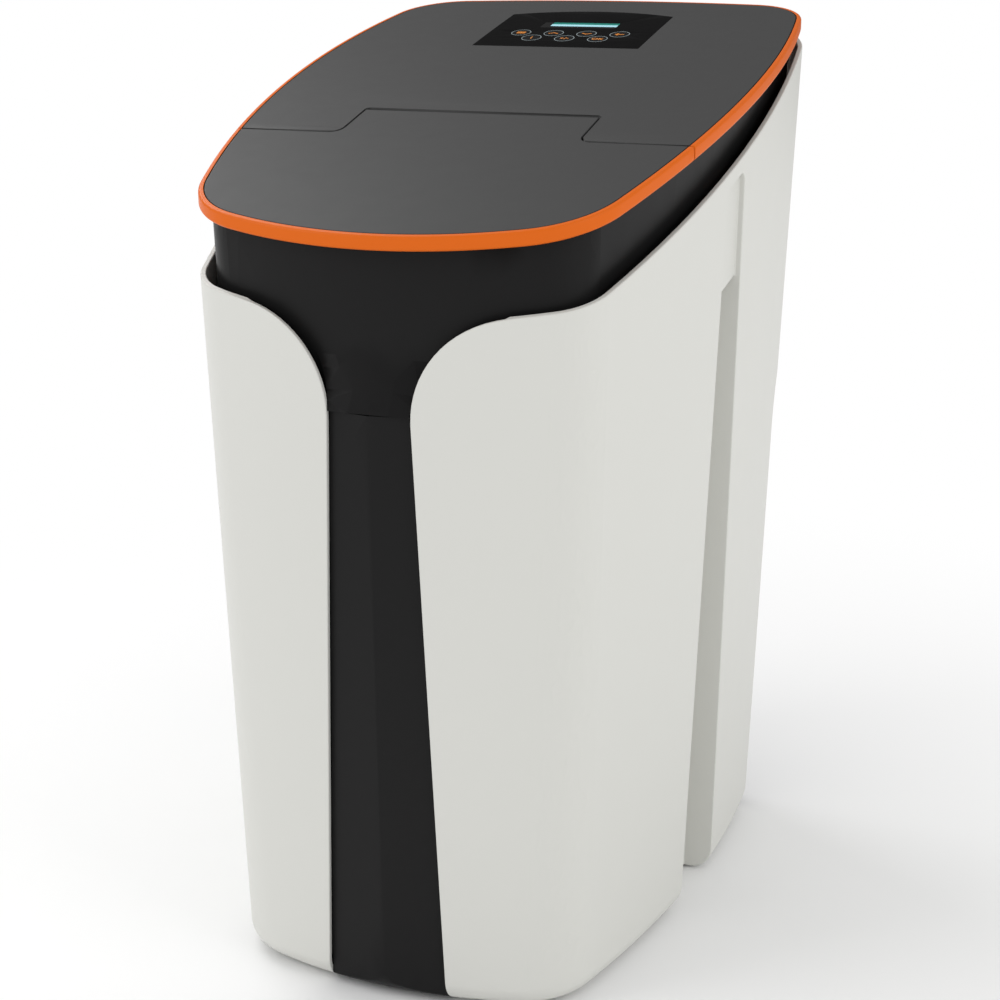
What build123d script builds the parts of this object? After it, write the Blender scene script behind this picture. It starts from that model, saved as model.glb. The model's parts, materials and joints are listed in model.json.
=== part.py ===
from build123d import *
from math import acos, asin, atan, cos, degrees, hypot, pi, radians, sin, sqrt, tan
import os

# Cabinet water softener in millimetres. X is the viewer's right, the front faces -Y, Z is up.
# The origin is on the floor under the middle of the lid.

# Lid plates: plan outline and the heights of their crowned top face
plate_width = 354.4
plate_depth = 480.0
plate_widest_share = 0.611
front_bow_radius = 308.0
side_bow_radius = 838.0
rear_bow_radius = 1129.0
front_corner_radius = 69.0
rear_corner_radius = 48.0
front_height = 539.0
rear_height = 663.3
lid_crown = 6.8

# Lid build: plate, skirt, orange trim band and the seam between flap and cover
plate_thickness = 3.0
skirt_wall = 2.5
trim_width = 4.0
trim_height = 10.0
trim_edge_radius = 2.0
trim_gap = 0.4
trim_flange = 1.6
plate_edge_radius = 0.8
flap_rib = 2.0
flap_rib_x = 62.0
flap_rib_length = 96.0
flap_rib_depth = 5.0
seal_inset = 14.0
seal_width = 4.0
boss_radius = 5.0
seat_gap = 0.3
seam_gap = 1.6
seam_y = 89.5
tongue_half_width = 88.5
tongue_y = 42.5
tongue_bend_radius = 9.0
tongue_tip_radius = 3.0

# Flap hinge: barrel along the tongue's rear edge with a steel pin at each end
barrel_radius = 3.2
hinge_pin_radius = 1.5
hinge_pin_reach = 9.0
hinge_boss_length = 10.0
hinge_boss_radius = 3.8
running_fit = 0.05
press_gap = 0.02

# Tapered body: half widths and front and rear reach at the floor and at the front height
base_half_width = 158.0
top_half_width = 176.0
base_front = 226.0
top_front = 242.5
base_rear = 218.0
top_rear = 243.0
body_widest = 60.0
body_side_bow = 1045.0
base_front_corner = 59.0
top_front_corner = 42.0
body_rear_corner = 48.0
body_edge_radius = 18.0
body_headroom = 37.0

# Side shells: wall, top edge below the lid, front edge with its S-curve and rear edge
shell_wall = 4.0
shell_bottom = 2.0
shell_lip = 24.0
shell_front_drop = 50.5
shell_rear_drop = 17.3
shell_foot_gap = 45.0
shell_neck_gap = 29.3
shell_sweep_radius = 70.0
shell_sweep_lift = 0.05
shell_rear_gap = 112.0
shell_rear_step_y = 178.0
shell_step_low = 334.0
shell_step_high = 414.0

# Side channel: shallow recess above, deep slot below, open at the bottom
channel_front_low = 24.0
channel_front_high = 18.0
channel_rear_low = 47.0
channel_rear_high = 17.0
channel_top_drop = 6.4
channel_top_rise = 11.0
channel_step_drop = 88.0
channel_step_rise = 12.0
channel_corner_radius = 7.0
recess_depth = 4.5
slot_depth = 22.0
liner_wall = 3.0

# Inner cabinet with its collar
cabinet_inset = 10.5
cabinet_wall = 3.0
cabinet_floor = 16.0
cabinet_corner_extra = 7.0
collar_gap = 0.8
collar_ledge = 11.0
channel_clearance = 1.5
chin_rise = 38.5
strip_rise = 3.0
strip_gap = 0.6
strip_wall = 2.6
strip_hidden_edge = 3.0

# Base pan and feet
pan_bottom = 6.3
pan_inset = 15.5
pan_wall = 2.5
pan_rib = 2.0
foot_radius = 19.0
foot_x = 92.0
foot_front_y = 150.0
foot_rear_y = 140.0
foot_stem_radius = 6.0
foot_stem = 8.0
foot_edge = 1.5

# Control fascia on the rear cover, with its display window and seven keys
fascia_half_width = 67.0
fascia_front_y = 104.0
fascia_side_y = 193.0
fascia_rear_y = 205.3
fascia_thickness = 1.5
fascia_gap = 0.2
window_width = 62.0
window_depth = 14.6
window_y = 163.4
key_radius = 6.8
key_gap = 0.35
key_flange = 1.0
key_flange_height = 1.0
key_pitch = 27.0
key_rear_y = 140.5
key_front_y = 127.1
key_travel = 0.6
key_stem_radius = 2.2
dome_radius = 3.5
dome_height = 0.6
board_thickness = 1.6
board_drop = 9.0
board_width = 122.0
board_depth = 84.0
housing_wall = 2.0
housing_depth = 20.0
housing_margin = 3.0
housing_y = 152.0
key_names = ("key_menu", "key_up", "key_down", "key_back", "key_info", "key_change", "key_enter")
keys_behind = 4
keys_before = 3

# Salt tank in the front of the cabinet
tank_inset = 15.0
tank_wall = 3.0
tank_rear_y = 36.0
tank_drop = 26.0
grid_height = 84.0
grid_thickness = 4.0
grid_gap = 1.5
slot_width = 6.0
slot_length = 34.0
slot_pitch = 15.0
slot_rows = 3
slot_columns_aside = 7
grid_leg_radius = 9.0
grid_leg_inset = 22.0
grid_slot_reach = 110.0
well_x = 82.0
well_y = 88.0
well_radius = 42.0
well_wall = 2.5
well_hose_rise = 39.0
well_cap_height = 12.0
well_slot_pairs = 3
well_slot_height = 30.0
float_radius = 30.0
float_height = 46.0
float_edge_radius = 10.0
float_rod_radius = 4.0
float_low = 130.0
float_travel = 60.0
float_fit = 0.6
stop_height = 4.0
rod_head = 4.0

# Resin bottle behind the tank
bottle_radius = 89.0
bottle_y = 92.0
bottle_wall = 3.5
bottle_bottom = 32.0
bottle_lid_drop = 211.0
bottle_dome = 46.0
neck_radius = 31.0
neck_height = 18.0
foot_ring_height = 60.0
foot_ring_wall = 3.0
resin_drop = 60.0
riser_radius = 13.0
riser_wall = 2.0
riser_foot = 4.0

# Control valve on the bottle
head_radius = 40.0
head_height = 20.0
head_seat = 4.0
manifold_width = 128.0
manifold_depth = 64.0
manifold_height = 48.0
manifold_corner = 8.0
chamber_radius = 27.0
chamber_wall = 3.0
chamber_depth = 14.0
cover_plate = 4.0
disc_thickness = 6.0
disc_gap = 0.4
shaft_radius = 4.0
disc_ports = 3
disc_port_radius = 5.0
post_reach = 22.0
post_radius = 3.0

# Valve drive: involute gear pair
gear_module = 1.5
gear_teeth = 36
pinion_teeth = 12
gear_width = 7.0
pressure_angle = 20.0
tooth_backlash = 0.35
addendum_share = 0.9
dedendum_share = 1.2
flank_steps = 3
gear_rim = 4.5
gear_hub_radius = 8.0
gear_web = 3.0
gear_lift = 3.0
pinion_shaft_radius = 2.0
motor_radius = 18.0
motor_height = 26.0
motor_flange = 3.0
motor_shaft_reach = 10.0

# Connections at the rear
port_x = 40.0
port_radius = 13.2
port_thread = 1.1
port_relief = 3.0
port_seat_radius = 13.8
port_tube_radius = 12.6
port_bore = 9.5
port_flange_radius = 19.0
port_flange = 4.0
port_reach = 30.0
niche_half_width = 104.0
niche_port_drop = 39.0
niche_lid_drop = 48.8
niche_y = 199.0
niche_wall = 3.0
barb_radius = 6.0
barb_bore = 3.5
barb_reach = 26.0
barb_ridge = 1.2
barb_pitch = 6.0
barb_rings = 3
drain_rise = 3.0
power_x = 78.0
power_niche_drop = 46.0
power_width = 28.0
power_height = 20.0
power_depth = 22.0
power_rim = 2.0
power_socket = 10.0
power_pin = 1.2
power_pin_x = 4.7
overflow_x = 100.0
overflow_niche_drop = 40.0
overflow_radius = 8.0
overflow_lip = 4.0
overflow_bore = 5.4
overflow_step = 2.0
overflow_groove = 0.6
overflow_groove_width = 2.0
overflow_spigot_radius = 7.2
overflow_spigot = 12.0

# Flow turbine in the inlet
turbine_radius = 8.2
turbine_length = 14.0
turbine_hub = 3.0
turbine_blades = 6
turbine_blade = 1.2
turbine_pin = 1.0
turbine_pin_reach = 2.5
turbine_pitch = 35.0
cage_width = 3.0
cage_spokes = 3

# Blending knob, injector and brine hose
knob_radius = 13.0
knob_height = 12.0
knob_ribs = 16
knob_groove = 1.5
knob_edge_radius = 2.0
knob_x = 48.0
injector_radius = 9.0
injector_reach = 16.0
injector_edge_radius = 1.8
hose_radius = 4.0
hose_wall = 1.0
spigot_length = 6.0
spigot_bore = 1.8
hose_turn_y = -6.0
hose_lead = 22.0
hose_bend = 14.0
injector_x = 30.0

# Cover screws
screw_radius = 2.0
screw_head_radius = 4.0
screw_head_height = 2.4
screw_length = 7.0
screw_side_x = 160.0
screw_rear_x = 60.0
screw_rear_y = 227.3

# Every cut runs past its face by this much
overrun = 5.0
wide = 400.0

MIN = Align.MIN
MID = Align.CENTER
upright = (MID, MID, MIN)
hanging = (MID, MID, Align.MAX)
rearward = Rot(X=-90)
forward = Rot(X=90)
sideways = Rot(Y=90)


def round_cut(radius, depth):
    """Round cutter, centred, that runs past both ends of a depth."""
    return Cylinder(radius, depth + 2 * overrun)


# Lid surface
half_depth = plate_depth / 2
lid_rise = rear_height - front_height
lid_chord = hypot(plate_depth, lid_rise)
lid_radius = lid_chord**2 / (8 * lid_crown) + lid_crown / 2
lid_drop = lid_radius - lid_crown
lid_centre_y = lid_drop * lid_rise / lid_chord
lid_centre_z = (front_height + rear_height) / 2 - lid_drop * plate_depth / lid_chord


def lid_height(y):
    return lid_centre_z + sqrt(lid_radius**2 - (y - lid_centre_y) ** 2)


def front_y(z, inset):
    """Front of the body on the middle plane at height z, drawn in by inset."""
    return inset - base_front - (top_front - base_front) * z / front_height


# Shell heights that follow the lid; the S-curve ends where it meets the top edge without a step
body_top = rear_height + body_headroom
shell_front_height = front_height - shell_front_drop
shell_rear_height = rear_height - shell_rear_drop
shell_top_slope = (shell_rear_height - shell_front_height) / (top_rear + base_front)
sweep_tilt = atan(shell_top_slope * (shell_neck_gap + shell_sweep_radius) / front_bow_radius)
sweep_end_x = shell_neck_gap + shell_sweep_radius * (1 - sin(sweep_tilt))
sweep_end_y = front_y(shell_front_height, front_bow_radius) - sqrt(front_bow_radius**2 - sweep_end_x**2)
sweep_end_z = shell_front_height + shell_top_slope * (base_front + sweep_end_y) + shell_sweep_lift
shell_neck_height = sweep_end_z - shell_sweep_radius * cos(sweep_tilt)
strip_top = shell_neck_height + strip_rise
chin_crease_height = strip_top + chin_rise
channel_top = shell_front_height + shell_top_slope * base_front - channel_top_drop
channel_step_front = channel_top - channel_step_drop

# Heights inside that follow the lid over the bottle, from the bottle up to the connections
bottle_shoulder = lid_height(bottle_y) - bottle_lid_drop
resin_level = bottle_shoulder - resin_drop
bottle_top = bottle_shoulder + bottle_dome * sin(acos(neck_radius / bottle_radius)) + neck_height
manifold_bottom = bottle_top + head_seat
manifold_top = manifold_bottom + manifold_height
port_z = manifold_bottom + manifold_height / 2
hose_level = port_z
drain_z = port_z + drain_rise
well_height = hose_level - well_hose_rise
niche_low = port_z - niche_port_drop
niche_high = lid_height(niche_y) - niche_lid_drop
power_z = niche_high - power_niche_drop
overflow_z = niche_low - overflow_niche_drop


def lid_plane(x, y, drop):
    """Plane parallel to the lid surface at a point, its normal pointing out, lowered by drop."""
    tilt = asin((y - lid_centre_y) / lid_radius)
    return Plane(origin=(x, y, lid_height(y) - drop), x_dir=(1, 0, 0), z_dir=(0, sin(tilt), cos(tilt)))


def lid_slab(top_drop, bottom_drop):
    """Slab between two copies of the crowned lid face, each lowered by its drop."""
    reach = half_depth + trim_width + overrun
    ends = [(-reach, lid_height(-reach)), (0, lid_height(0)), (reach, lid_height(reach))]
    top = ThreePointArc(*[(y, z - top_drop) for y, z in ends])
    bottom = ThreePointArc(*[(y, z - bottom_drop) for y, z in ends])
    sides = Line(top @ 0, bottom @ 0) + Line(top @ 1, bottom @ 1)
    return extrude(Plane.YZ * make_face(top + bottom + sides), wide / 2, both=True)


# Plan outlines
def bowed_face(half_width, front, rear, widest, side_bow, front_corner, rear_corner, inset):
    """Plan face between four bowed sides, with rounded corners, drawn in by inset."""
    face = Pos(0, front_bow_radius - front) * Circle(front_bow_radius - inset)
    face &= Pos(0, rear - rear_bow_radius) * Circle(rear_bow_radius - inset)
    face &= Pos(half_width - side_bow, widest) * Circle(side_bow - inset)
    face &= Pos(side_bow - half_width, widest) * Circle(side_bow - inset)
    face = fillet(face.vertices().sort_by(Axis.Y)[:2], front_corner - inset)
    return fillet(face.vertices().sort_by(Axis.Y)[-2:], rear_corner - inset)


def plate_face(inset):
    """Plan face of the two lid plates together, drawn in by inset."""
    widest = plate_depth * (plate_widest_share - 1 / 2)
    return bowed_face(plate_width / 2, half_depth, half_depth, widest, side_bow_radius,
                      front_corner_radius, rear_corner_radius, inset)


def lid_band(outer_inset, inner_inset, top_drop, bottom_drop):
    """Ring that follows the lid's outline between two insets and two drops."""
    ring = plate_face(outer_inset) - plate_face(inner_inset)
    return extrude(ring, rear_height + overrun) & lid_slab(top_drop, bottom_drop)


def body_face(z, inset, corner_extra=0.0):
    """Plan face of the tapered body at height z, drawn in by inset."""
    rise = z / front_height
    half_width = base_half_width + (top_half_width - base_half_width) * rise
    front = base_front + (top_front - base_front) * rise
    rear = base_rear + (top_rear - base_rear) * rise
    corner = base_front_corner + (top_front_corner + corner_extra - base_front_corner) * rise
    return Pos(0, 0, z) * bowed_face(half_width, front, rear, body_widest, body_side_bow,
                                     corner, body_rear_corner, inset)


def body_form(inset, bottom, edge_radius=0.0, corner_extra=0.0):
    """Tapered solid of the body, drawn in by inset, from bottom up past the lid."""
    form = loft([body_face(bottom, inset, corner_extra), body_face(body_top, inset, corner_extra)],
                ruled=True)
    if edge_radius:
        form = fillet(form.faces().sort_by(Axis.Z)[0].edges(), edge_radius)
    return form


# Flap zone in plan, with its tongue
def flap_zone(margin):
    """Upright prism of the flap's side of the seam, grown by margin."""
    deep = half_depth + trim_width + overrun
    half_tongue = tongue_half_width + margin
    main = Pos(0, -(deep + seam_y - margin) / 2) * Rectangle(wide, deep - seam_y + margin)
    reach = deep - tongue_y + margin
    tongue = Pos(0, reach / 2 - deep) * Rectangle(2 * half_tongue, reach)
    zone = main + tongue
    seam_corners = zone.vertices().sort_by(Axis.Y)[-6:-2]
    bends = sorted(seam_corners, key=lambda corner: abs(corner.X))[:2]
    zone = fillet(bends, tongue_bend_radius - margin)
    zone = fillet(zone.vertices().sort_by(Axis.Y)[-2:], tongue_tip_radius + margin)
    return extrude(zone, rear_height + overrun)


# Side channel, drawn in the side view and mirrored to both sides
def channel_prism(margin, deep_part):
    """Prism across the body of the side channel, or of its deep lower part, grown by margin."""
    def edge_y(low, high, z):
        return low + (high - low) * z / channel_top

    low = -overrun
    if deep_part:
        high, rise = channel_step_front, channel_step_rise
    else:
        high, rise = channel_top - channel_top_rise, channel_top_rise
    front_low = (-edge_y(channel_front_low, channel_front_high, low) - margin, low)
    front_high = (-edge_y(channel_front_low, channel_front_high, high) - margin, high + margin)
    rear_high = (edge_y(channel_rear_low, channel_rear_high, high + rise) + margin, high + rise + margin)
    rear_low = (edge_y(channel_rear_low, channel_rear_high, low) + margin, low)
    face = make_face(Polyline(front_low, front_high, rear_high, rear_low, close=True))
    if not deep_part:
        face = fillet(face.vertices().sort_by(Axis.Y)[-2:], channel_corner_radius)
    return extrude(Plane.YZ * face, wide / 2, both=True)


def channel_void():
    """Space of both side channels: shallow recess and deep slot, measured from the body's face."""
    shallow = channel_prism(0, False) - body_form(recess_depth, -overrun)
    deep = channel_prism(0, True) - body_form(slot_depth, -overrun)
    return shallow + deep


# Cutters for the shells' edges
def above_shell():
    """Everything above the shells' straight top edge."""
    reach = half_depth + wide / 2
    front = (-reach, shell_front_height + shell_top_slope * (base_front - reach))
    rear = (reach, shell_front_height + shell_top_slope * (base_front + reach))
    face = make_face(Polyline(front, rear, (reach, body_top + wide), (-reach, body_top + wide), close=True))
    return extrude(Plane.YZ * face, wide / 2, both=True)


def front_notch(margin):
    """Front opening between the shells: it narrows upwards, then sweeps out to the top edge."""
    sweep = shell_sweep_radius + margin

    def on_sweep(angle):
        return shell_neck_gap - margin + sweep * (1 - cos(angle)), shell_neck_height + sweep * sin(angle)

    foot = (shell_foot_gap - margin, -overrun)
    end = on_sweep(pi / 2 - sweep_tilt)
    top = (end[0], body_top)
    right = Line(foot, on_sweep(0)) + ThreePointArc(on_sweep(0), on_sweep(pi / 4), end) + Line(end, top)
    outline = right + mirror(right, Plane.YZ)
    for x, z in (foot, top):
        outline += Line((x, z), (-x, z))
    return extrude(Plane.XZ * make_face(outline), base_front + wide / 2)


def rear_notch():
    """Rear opening between the shells; lower down it sweeps forward round the corners."""
    middle = Pos(0, base_rear, body_top / 2) * Box(2 * shell_rear_gap, base_rear, body_top + wide)
    sweep = shell_step_high - shell_step_low
    turn = (shell_rear_step_y + sweep, shell_step_high)
    half_arc = (turn[0] - sweep * cos(pi / 4), shell_step_low + sweep * sin(pi / 4))
    corner_low = (shell_rear_step_y, -overrun)
    corner = (shell_rear_step_y, shell_step_low)
    outline = Line(corner_low, corner) + ThreePointArc(corner, half_arc, turn)
    outline += Polyline(turn, (turn[0], -overrun), corner_low)
    return middle + extrude(Plane.YZ * make_face(outline), wide / 2, both=True)


def half_space(side):
    """Box that keeps only one side of the middle plane: 1 is the viewer's right."""
    return Pos(side * wide / 2, 0, body_top / 2) * Box(wide, 2 * wide, body_top + wide)


# Side shells and front strip
def side_shells():
    """Both thin shells: walls with a bottom lip, folded in at the side channels."""
    outer = body_form(0, shell_bottom, body_edge_radius)
    inner = body_form(shell_wall, shell_bottom + shell_wall, body_edge_radius - shell_wall)
    opening = extrude(body_face(-overrun, shell_lip), shell_bottom + shell_wall + 2 * overrun)
    walls = outer - inner - opening
    shallow_liner = channel_prism(liner_wall, False) - body_form(recess_depth + liner_wall, -overrun)
    deep_liner = channel_prism(liner_wall, True) - body_form(slot_depth + liner_wall, -overrun)
    walls += (shallow_liner + deep_liner) & outer
    walls -= channel_void()
    walls -= above_shell()
    walls -= front_notch(0)
    walls -= rear_notch()
    return {name: walls & half_space(side) for name, side in (("left_shell", -1), ("right_shell", 1))}


def strip_section(z, inset):
    """Creased section of the front strip: its ridge stands out, its edges lie behind the shells."""
    neck_share = z / shell_neck_height
    edge = shell_foot_gap + (shell_neck_gap - shell_foot_gap) * neck_share + strip_hidden_edge
    ridge_y = front_y(z, inset)
    edge_y = ridge_y + edge**2 / (2 * front_bow_radius) + shell_wall + strip_gap
    back_y = ridge_y + shell_lip
    corners = [(-edge, back_y), (-edge, edge_y), (0, ridge_y), (edge, edge_y), (edge, back_y)]
    return Pos(0, 0, z) * make_face(Polyline(*corners, close=True))


def front_strip():
    """Black strip with a vertical crease and a lip under the base pan."""
    def bar(inset, bottom):
        return loft([strip_section(bottom, inset), strip_section(strip_top + inset, inset)], ruled=True)

    lip_top = shell_bottom + shell_wall
    strip = bar(0, shell_bottom) & body_form(0, shell_bottom, body_edge_radius)
    strip -= bar(strip_wall, lip_top) & body_form(strip_wall, lip_top, body_edge_radius - shell_wall)
    back = Pos(0, front_y(0, shell_lip), 0) * Box(wide, wide, 2 * body_top, align=(MID, MIN, MID))
    low = Pos(0, 0, shell_bottom) * Box(wide, 2 * wide, shell_lip, align=upright)
    return strip - back - (low - front_notch(strip_gap))


# Inner cabinet, base pan and feet
def cabinet_fold(extra):
    """Space that the cabinet leaves free for the shells' deep slots, grown by extra."""
    reach = liner_wall + channel_clearance + extra
    return channel_prism(reach, True) - body_form(slot_depth + reach, -overrun)


def niche_box(gap):
    """Box of the connection niche through the cabinet's rear wall, grown by gap."""
    depth = top_rear + overrun - niche_y
    height = niche_high - niche_low
    box = Box(2 * (niche_half_width + gap), depth + gap, height + 2 * gap)
    return Pos(0, niche_y + (depth - gap) / 2, (niche_low + niche_high) / 2) * box


def chin():
    """Hollow wedge on the cabinet's front that carries the collar out to the strip's top end."""
    foot = body_face(strip_top + strip_gap, strip_gap)
    crease = body_face(chin_crease_height, cabinet_inset + cabinet_wall / 4)
    wedge = loft([foot, crease], ruled=True) & front_notch(strip_gap)
    wedge -= body_form(cabinet_inset + cabinet_wall / 2, cabinet_floor)
    return wedge - Pos(0, strip_wall, strip_wall) * wedge


def overflow_hole(radius):
    """Bore along the overflow pipe from the salt tank to the outside."""
    start = Pos(overflow_x, -tank_rear_y - tank_wall - overrun, overflow_z)
    return start * rearward * Cylinder(radius, tank_rear_y + base_rear + wide / 2, align=upright)


def inner_cabinet():
    outer = body_form(cabinet_inset, cabinet_floor, 0, cabinet_corner_extra) - cabinet_fold(0)
    inner = body_form(cabinet_inset + cabinet_wall, cabinet_floor + cabinet_wall, 0, cabinet_corner_extra)
    inner -= cabinet_fold(cabinet_wall)
    collar_top = trim_height + collar_gap
    ledge = lid_slab(collar_top, collar_top + cabinet_wall)
    inner -= ledge - body_form(cabinet_inset + collar_ledge, shell_neck_height, 0, cabinet_corner_extra)
    walls = outer - inner - lid_slab(-wide, collar_top)
    walls += chin()
    walls -= niche_box(seat_gap)
    walls -= overflow_hole(overflow_radius + running_fit)
    for place in cover_screw_places():
        walls -= place * round_cut(screw_radius + running_fit, 0)
    return walls


def foot_places():
    return [(x, y) for x in (-foot_x, foot_x) for y in (-foot_front_y, foot_rear_y)]


def base_pan():
    """Ribbed tray, open below, between the shells' lips and the cabinet's floor."""
    top = Pos(0, 0, cabinet_floor) * Box(wide, 2 * wide, 2 * body_top, align=upright)
    pan = body_form(pan_inset, pan_bottom) - top
    hollow = body_form(pan_inset + pan_wall, pan_bottom - overrun) - Pos(0, 0, -pan_wall) * top
    pan -= cabinet_fold(0)
    hollow -= cabinet_fold(pan_wall)
    height = cabinet_floor - pan_bottom
    for y in (-foot_front_y, 0, foot_rear_y):
        hollow -= Pos(0, y, pan_bottom) * Box(wide, pan_rib, height, align=upright)
    for x in (-foot_x, 0, foot_x):
        hollow -= Pos(x, 0, pan_bottom) * Box(pan_rib, 2 * wide, height, align=upright)
    for x, y in foot_places():
        hollow -= Pos(x, y, pan_bottom) * Cylinder(foot_radius, height, align=upright)
    pan -= hollow
    for x, y in foot_places():
        pan -= Pos(x, y, 0) * Cylinder(foot_stem_radius + running_fit, pan_bottom + foot_stem, align=upright)
    return pan


def feet():
    pad = fillet(Cylinder(foot_radius, pan_bottom, align=upright).edges().sort_by(Axis.Z)[0], foot_edge)
    foot = pad + Pos(0, 0, pan_bottom) * Cylinder(foot_stem_radius, foot_stem - running_fit, align=upright)
    return Compound([Pos(x, y, 0) * foot for x, y in foot_places()])


# Lid: plates, trims, hinge and seal
hinge_y = -(tongue_y + seam_gap / 2 + barrel_radius)
hinge_z = lid_height(hinge_y) - barrel_radius
barrel_half = tongue_half_width - seam_gap / 2


def lid_body():
    """Both plates before the seam is cut: crowned plate with its skirt."""
    plate = extrude(plate_face(0), rear_height + overrun) & lid_slab(0, plate_thickness)
    plate = fillet(plate.faces().sort_by(Axis.Z)[-1].edges(), plate_edge_radius)
    skirt_bottom = trim_height - trim_flange - seat_gap
    return plate + lid_band(0, skirt_wall, plate_thickness / 2, skirt_bottom)


def lid_trim():
    """Orange band before it is split: outer wall with a flange under the skirt."""
    tall = rear_height + overrun
    block = extrude(plate_face(-trim_width), tall) & lid_slab(0, trim_height)
    block = fillet(block.faces().sort_by(Axis.Z)[-1].edges(), trim_edge_radius)
    core = extrude(plate_face(-trim_gap), tall) & lid_slab(-overrun, trim_height - trim_flange)
    return block - core - extrude(plate_face(skirt_wall), tall)


def front_flap():
    """Front plate with its tongue, hinge barrel and stiffening ribs."""
    flap = lid_body() & flap_zone(-seam_gap / 2)
    behind = Pos(0, hinge_y, hinge_z - barrel_radius) * Box(wide, wide, wide, align=(MID, MIN, MIN))
    flap -= behind
    flap += Pos(0, hinge_y, hinge_z) * sideways * Cylinder(barrel_radius, 2 * barrel_half)
    for x in (-flap_rib_x, 0, flap_rib_x):
        rib = Pos(x, -(seam_y + flap_rib_length / 2), 0) * Box(flap_rib, flap_rib_length, 2 * body_top)
        flap += rib & lid_slab(plate_thickness / 2, plate_thickness + flap_rib_depth)
    bore = Cylinder(hinge_pin_radius + running_fit, hinge_pin_reach + seat_gap, align=upright)
    for side in (-1, 1):
        flap -= Pos(side * barrel_half, hinge_y, hinge_z) * Rot(Y=-90 * side) * bore
    return flap


def front_trim():
    return lid_trim() & flap_zone(-seam_gap / 2)


def flap_seal():
    seal_bottom = trim_height + collar_gap - seat_gap
    ring = lid_band(seal_inset, seal_inset + seal_width, plate_thickness, seal_bottom)
    return ring & flap_zone(-seam_gap)


def hinge_pins():
    inside = barrel_half - hinge_pin_reach
    outside = tongue_half_width + seam_gap / 2 + hinge_boss_length
    pin = Pos(0, hinge_y, hinge_z) * sideways * Cylinder(hinge_pin_radius, outside - inside)
    middle = (inside + outside) / 2
    return Compound([Pos(x, 0, 0) * pin for x in (-middle, middle)])


def cover_screw_places():
    """Planes under the collar's ledge, parallel to the lid, one for each screw."""
    ledge_drop = trim_height + collar_gap + cabinet_wall
    sides = [(-screw_side_x, body_widest), (screw_side_x, body_widest)]
    rear = [(-screw_rear_x, screw_rear_y), (screw_rear_x, screw_rear_y)]
    return [lid_plane(x, y, ledge_drop) for x, y in sides + rear]


def fascia_face(grow):
    """Plan face of the control fascia with its bowed rear edge."""
    half = fascia_half_width + grow
    front, side, rear = fascia_front_y - grow, fascia_side_y + grow, fascia_rear_y + grow
    edges = Polyline((half, side), (half, front), (-half, front), (-half, side))
    return make_face(edges + ThreePointArc((-half, side), (0, rear), (half, side)))


def key_places():
    """Two centred, staggered rows, the rear one first."""
    places = []
    for count, y in ((keys_behind, key_rear_y), (keys_before, key_front_y)):
        places += [((i - (count - 1) / 2) * key_pitch, y) for i in range(count)]
    return places


def rear_cover():
    """Rear plate with its skirt, screw bosses, hinge bosses and the recess of the fascia."""
    cover = lid_body() - flap_zone(seam_gap / 2)
    boss_bottom = trim_height + collar_gap - seat_gap
    for place in cover_screw_places():
        cover += (place * Cylinder(boss_radius, wide)) & lid_slab(plate_thickness / 2, boss_bottom)
        cover -= place * Cylinder(screw_radius, screw_length + cabinet_wall + seat_gap, align=upright)
    for side in (-1, 1):
        inside = tongue_half_width + seam_gap / 2
        at = Pos(side * (inside + hinge_boss_length / 2), hinge_y, hinge_z)
        boss = at * sideways * Cylinder(hinge_boss_radius, hinge_boss_length)
        rise = barrel_radius + plate_thickness
        boss += at * Box(hinge_boss_length, 2 * hinge_boss_radius, rise, align=upright)
        cover += boss & lid_slab(plate_thickness / 2, wide)
        cover -= at * sideways * Cylinder(hinge_pin_radius + press_gap, hinge_boss_length + overrun)
    tall = rear_height + overrun
    cover -= extrude(fascia_face(fascia_gap), tall) & lid_slab(-overrun, fascia_thickness)
    for x, y in key_places():
        cover -= lid_plane(x, y, 0) * round_cut(key_radius + key_flange + 2 * key_gap, plate_thickness)
    opening = Box(window_width - 2 * housing_wall, window_depth - housing_wall, 2 * overrun)
    return cover - lid_plane(0, window_y, 0) * opening


def rear_trim():
    return lid_trim() - flap_zone(seam_gap / 2)


def cover_screws():
    """Screws up through the collar's ledge into the cover's bosses."""
    shank = Cylinder(screw_radius - press_gap, screw_length + cabinet_wall, align=upright)
    screw = Pos(0, 0, -running_fit) * (Cylinder(screw_head_radius, screw_head_height, align=hanging) + shank)
    return Compound([place * screw for place in cover_screw_places()])


# Control unit in the rear cover
def control_fascia():
    fascia = extrude(fascia_face(0), rear_height + overrun) & lid_slab(0, fascia_thickness)
    for x, y in key_places():
        fascia -= lid_plane(x, y, 0) * round_cut(key_radius + key_gap, fascia_thickness)
    return fascia - window_block(fascia_gap, -overrun, fascia_thickness + overrun)


def window_block(grow, top_drop, bottom_drop):
    """Upright block of the display window between two drops."""
    block = Pos(0, window_y, 0) * Box(window_width + 2 * grow, window_depth + 2 * grow, 2 * body_top)
    return block & lid_slab(top_drop, bottom_drop)


def key_cap(x, y):
    """Round key with a flange that keeps it under the fascia and a stem over its dome."""
    stem = board_drop - dome_height - key_travel - key_gap
    flange_drop = fascia_thickness + key_gap
    cap = Cylinder(key_radius, flange_drop + key_flange_height, align=hanging)
    cap += Pos(0, 0, -flange_drop) * Cylinder(key_radius + key_flange, key_flange_height, align=hanging)
    cap += Cylinder(key_stem_radius, stem, align=hanging)
    return lid_plane(x, y, 0) * cap


def unit_plane(drop):
    """Flat plane of the control unit, a drop below the fascia's middle and parallel to it."""
    return lid_plane(0, housing_y, 0).offset(-drop)


def unit_place(x, y):
    """Position in the control unit's plane of a point of the lid surface."""
    at = unit_plane(0).to_local_coords(Vector(x, y, lid_height(y)))
    return Pos(at.X, at.Y, 0)


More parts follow.
